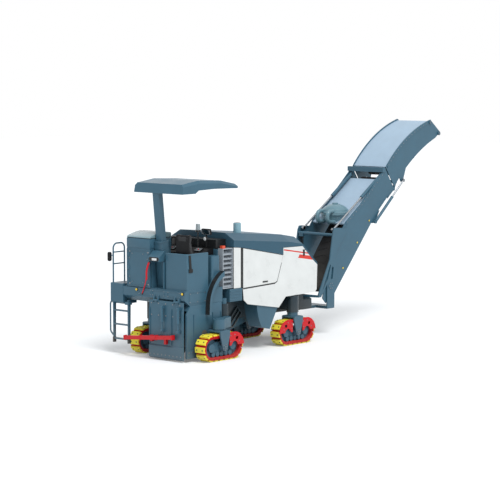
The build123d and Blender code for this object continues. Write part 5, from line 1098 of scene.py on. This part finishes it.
# Slewing yoke: cut and welded plate on its king pin, with bolted pin caps at the pivots and
# two braided hoses in crimped fittings.
YOKE_PIVOT = (0.560, 1.130)
CAP_FACE_Y = 0.544
CAP_BOLT_R = 0.063
BRAID_PITCH = 900.0
dress(slate_low, "slew_yoke")
material, tree, shader = new_material("yoke_hoses")
place = own_place(tree)
slant = math_node(tree, "ADD", place["Z"], place["X"])
braid = math_node(tree, "SINE", math_node(tree, "MULTIPLY", slant, BRAID_PITCH))
film_on(tree, shader, EDGE_RUBBER, 0.15, 2.0, 0.55, 0)
bump(tree, shader, braid, 0.3, 0.001)
dress(material, "yoke_hoses")
spots = []
for side_y in (-1, 1):
    spots += bolt_circle(YOKE_PIVOT, side_y * CAP_FACE_Y, side_y, CAP_BOLT_R, 6)
bolts("yoke_bolts", spots, 0.008, plated, "yoke")

# Conveyor: folded side plates with bolted edge strips, amber reflectors let into the lower pair,
# ribbed rubber belts, pale fabric covers and the dust extraction unit.
REFLECTORS = ((1.040, 1.500), (1.570, 2.055), (2.020, 2.540))
REFLECTOR_R = 0.021
AMBER = (0.78, 0.58, 0.03, 1)
DUST_SLATE = (0.130, 0.240, 0.290, 1)
COVER_PALE = (0.36, 0.48, 0.60, 1)
BELT_BLACK = (0.018, 0.018, 0.019, 1)
ROD_CHROME = (0.30, 0.32, 0.34, 1)
PLATE_FACE = 0.5005
STRIP_FACE = 0.509
STRIP_STEP = 0.125
BOSS_FACE = 0.532
BOSS_BOLT_R = 0.026
dress(slate_paint, "lift_barrels", "fold_barrels")
for trough in ("lower_trough", "upper_trough"):
    material, tree, shader = new_material(trough, coat=0.1)
    place = own_place(tree)
    colour = SLATE
    if trough == "lower_trough":
        proud = math_node(tree, "GREATER_THAN", math_node(tree, "ABSOLUTE", place["Y"]), PLATE_FACE)
        lit = 0.0
        for x, z in REFLECTORS:
            off_x = math_node(tree, "SUBTRACT", place["X"], x)
            off_z = math_node(tree, "SUBTRACT", place["Z"], z)
            near = math_node(tree, "LESS_THAN", span(tree, off_x, off_z), REFLECTOR_R)
            lit = math_node(tree, "MAXIMUM", lit, near)
        colour = tint_mix(tree, math_node(tree, "MULTIPLY", lit, proud), SLATE, AMBER)
    film_on(tree, shader, colour, 0.06, 1.6, 0.36)
    dress(material, trough)
dust_slate = painted("dust_slate", DUST_SLATE, dusty=0, roughness=0.3, coat=0.2)
dress(dust_slate, "dust_unit")
pale_cover = painted("pale_cover", COVER_PALE, dusty=0, roughness=0.5, coat=0)
dress(pale_cover, "lower_cover", "upper_cover")
belt_rubber, tree, shader = new_material("belt_rubber")
film_on(tree, shader, BELT_BLACK, 0.5, 2.0, 0.7, 0.5)
dress(belt_rubber, "lower_belt", "upper_belt")
rod_chrome, tree, shader = new_material("rod_chrome", metallic=1.0)
film_on(tree, shader, ROD_CHROME, 0.0, 1.0, 0.26, 0.05)
dress(rod_chrome, "lift_rods", "fold_rods")


def spaced(points, step):
    """Places at even steps along a line of X and Z points, half a step in from each end."""
    lengths = [math.dist(start, end) for start, end in zip(points, points[1:])]
    count = max(1, round(sum(lengths) / step))
    for number in range(count):
        way = (number + 0.5) * sum(lengths) / count
        for length, start, end in zip(lengths, points, points[1:]):
            if way <= length:
                yield (start[0] + (end[0] - start[0]) * way / length,
                       start[1] + (end[1] - start[1]) * way / length)
                break
            way -= length


# Strip bolts: the edge strips are bolted on at even steps, and four bolts hold each bearing
# boss of the upper section's tip.
LOWER_STRIP = ((1.152, 2.522), (1.715, 2.915), (2.656, 3.706))
UPPER_STRIP = ((2.715, 3.775), (2.900, 3.960), (3.100, 4.130), (3.300, 4.280), (3.497, 4.410),
               (3.700, 4.522), (3.940, 4.636), (4.190, 4.733), (4.440, 4.812))
for name, strip, bosses, body in (
        ("lower_strip_bolts", LOWER_STRIP, (), "lower_conveyor"),
        ("upper_strip_bolts", UPPER_STRIP, ((4.400, 4.790), (4.770, 4.505)), "upper_conveyor")):
    spots = []
    for side_y in (-1, 1):
        spots += [((x, side_y * STRIP_FACE, z), (0, side_y, 0))
                  for x, z in spaced(strip, STRIP_STEP)]
        for boss in bosses:
            spots += bolt_circle(boss, side_y * BOSS_FACE, side_y, BOSS_BOLT_R, 4, math.pi / 4)
    bolts(name, spots, 0.008, plated, body)

# Belt ribs: low chevrons moulded on the belts' carrying face, with their points leading, carry
# the milled material up the slope.
BELT_OUT = 0.105
RIB_HALF = 0.235
RIB_LEAD = 0.045
RIB_GAP = 0.012
BELT_RUNS = (
    ("lower_belt_ribs", ((0.610, 1.060), (1.700, 2.450), (2.790, 3.400)), 17, "lower_conveyor"),
    ("upper_belt_ribs", ((3.110, 3.650), (3.800, 4.205), (4.560, 4.590)), 10, "upper_conveyor"))


def arc_through(start, between, end, count):
    """A circle's centre, radius and even angles through three X and Z points."""
    (ax, az), (bx, bz), (cx, cz) = start, between, end
    twice = 2 * (ax * (bz - cz) + bx * (cz - az) + cx * (az - bz))
    first_far, next_far, last_far = (x ** 2 + z ** 2 for x, z in (start, between, end))
    ux = (first_far * (bz - cz) + next_far * (cz - az) + last_far * (az - bz)) / twice
    uz = (first_far * (cx - bx) + next_far * (ax - cx) + last_far * (bx - ax)) / twice
    radius = math.hypot(ax - ux, az - uz)
    first = math.atan2(az - uz, ax - ux)
    last = math.atan2(cz - uz, cx - ux)
    return [(ux, uz, radius, first + (last - first) * number / count)
            for number in range(count + 1)]


for name, run, count, body in BELT_RUNS:
    shape = bmesh.new()
    for ux, uz, radius, angle in arc_through(*run, count)[1:-1]:
        middle_x, middle_z = ux + radius * math.cos(angle), uz + radius * math.sin(angle)
        outward = Vector((math.cos(angle), 0, math.sin(angle)))
        if outward.z < 0:
            outward = -outward
        ahead = Vector((outward.z, 0, -outward.x))
        base = Vector((middle_x, 0, middle_z)) + outward * (BELT_OUT + 0.004)
        for side_y in (-1, 1):
            tip = base + ahead * RIB_LEAD + Vector((0, side_y * RIB_GAP, 0))
            tail = base - ahead * RIB_LEAD + Vector((0, side_y * RIB_HALF, 0))
            webbing(shape, [tip, tail], ahead, 0.010, 0.010)
    finish_piece(name, shape, belt_rubber, body)

# Lamps, beacon and mirror: moulded lenses pressed into black housings, which are screwed to the
# plate, and a silvered glass held in the mirror's rim.
LAMP_AMBER = (0.90, 0.62, 0.02, 1)
BOX_ORANGE = (0.74, 0.080, 0.030, 1)
LENS_WHITE = (0.78, 0.80, 0.80, 1)
BOX_LAMP_FROM = -3.530
BEACON_LENS_FROM = 2.671
BEACON_LENS = (0.44, 0.52, 0.55, 1)
BEACON_RIBS = 520.0
MIRROR_SILVER = (0.80, 0.82, 0.84, 1)
REAR_LAMPS_Y = (0.480, -0.850)
material, tree, shader = new_material("lamps", coat=0.3)
place = own_place(tree)
boxed = math_node(tree, "GREATER_THAN", place["X"], BOX_LAMP_FROM)
film_on(tree, shader, tint_mix(tree, boxed, EDGE_RUBBER, BOX_ORANGE), 0, 1, 0.3)
dress(material, "lamps")
material, tree, shader = new_material("beacon", coat=0.4)
place = own_place(tree)
lens = math_node(tree, "GREATER_THAN", place["Z"], BEACON_LENS_FROM)
film_on(tree, shader, tint_mix(tree, lens, EDGE_RUBBER, BEACON_LENS), 0, 1, 0.25, 0)
ribs = math_node(tree, "SINE", math_node(tree, "MULTIPLY", place["Z"], BEACON_RIBS))
bump(tree, shader, ribs, 0.3, 0.0015)
dress(material, "beacon")
dress(black_plastic, "mirror")
lens_amber = painted("lens_amber", LAMP_AMBER, dusty=0, roughness=0.2, coat=0.4)
lens_white = painted("lens_white", LENS_WHITE, dusty=0, roughness=0.15, coat=0.5)
mirror_silver, tree, shader = new_material("mirror_silver", roughness=0.04, metallic=1.0)
shader.inputs["Base Color"].default_value = MIRROR_SILVER
shape = bmesh.new()
for lamp_y in REAR_LAMPS_Y:
    disc(shape, (-4.7585, lamp_y, 1.440), (-1, 0, 0), 0.0255, 0.004, 0.0245, 24)
    disc(shape, (-4.7625, lamp_y, 1.440), (-1, 0, 0), 0.0245, 0.003, 0.017, 24)
finish_piece("rear_lenses", shape, lens_amber, "chassis")
shape = bmesh.new()
for depth, shrink in ((0.0005, 0), (0.0035, 0.003)):
    slab(shape, (-4.811 - depth, -0.100, 2.122),
         (0.004, 0.136 - shrink * 2, 0.048 - shrink * 2), 0.0018, 2)
disc(shape, (-3.6755, -0.500, 2.500), (-1, 0, 0), 0.0385, 0.004, 0.037, 28)
disc(shape, (-3.6795, -0.500, 2.500), (-1, 0, 0), 0.037, 0.004, 0.026, 28)
finish_piece("white_lenses", shape, lens_white, "chassis")
shape = bmesh.new()
slab(shape, (-4.6710, 1.336, 2.080), (0.004, 0.058, 0.164), 0.0018, 2)
finish_piece("mirror_glass", shape, mirror_silver, "chassis")
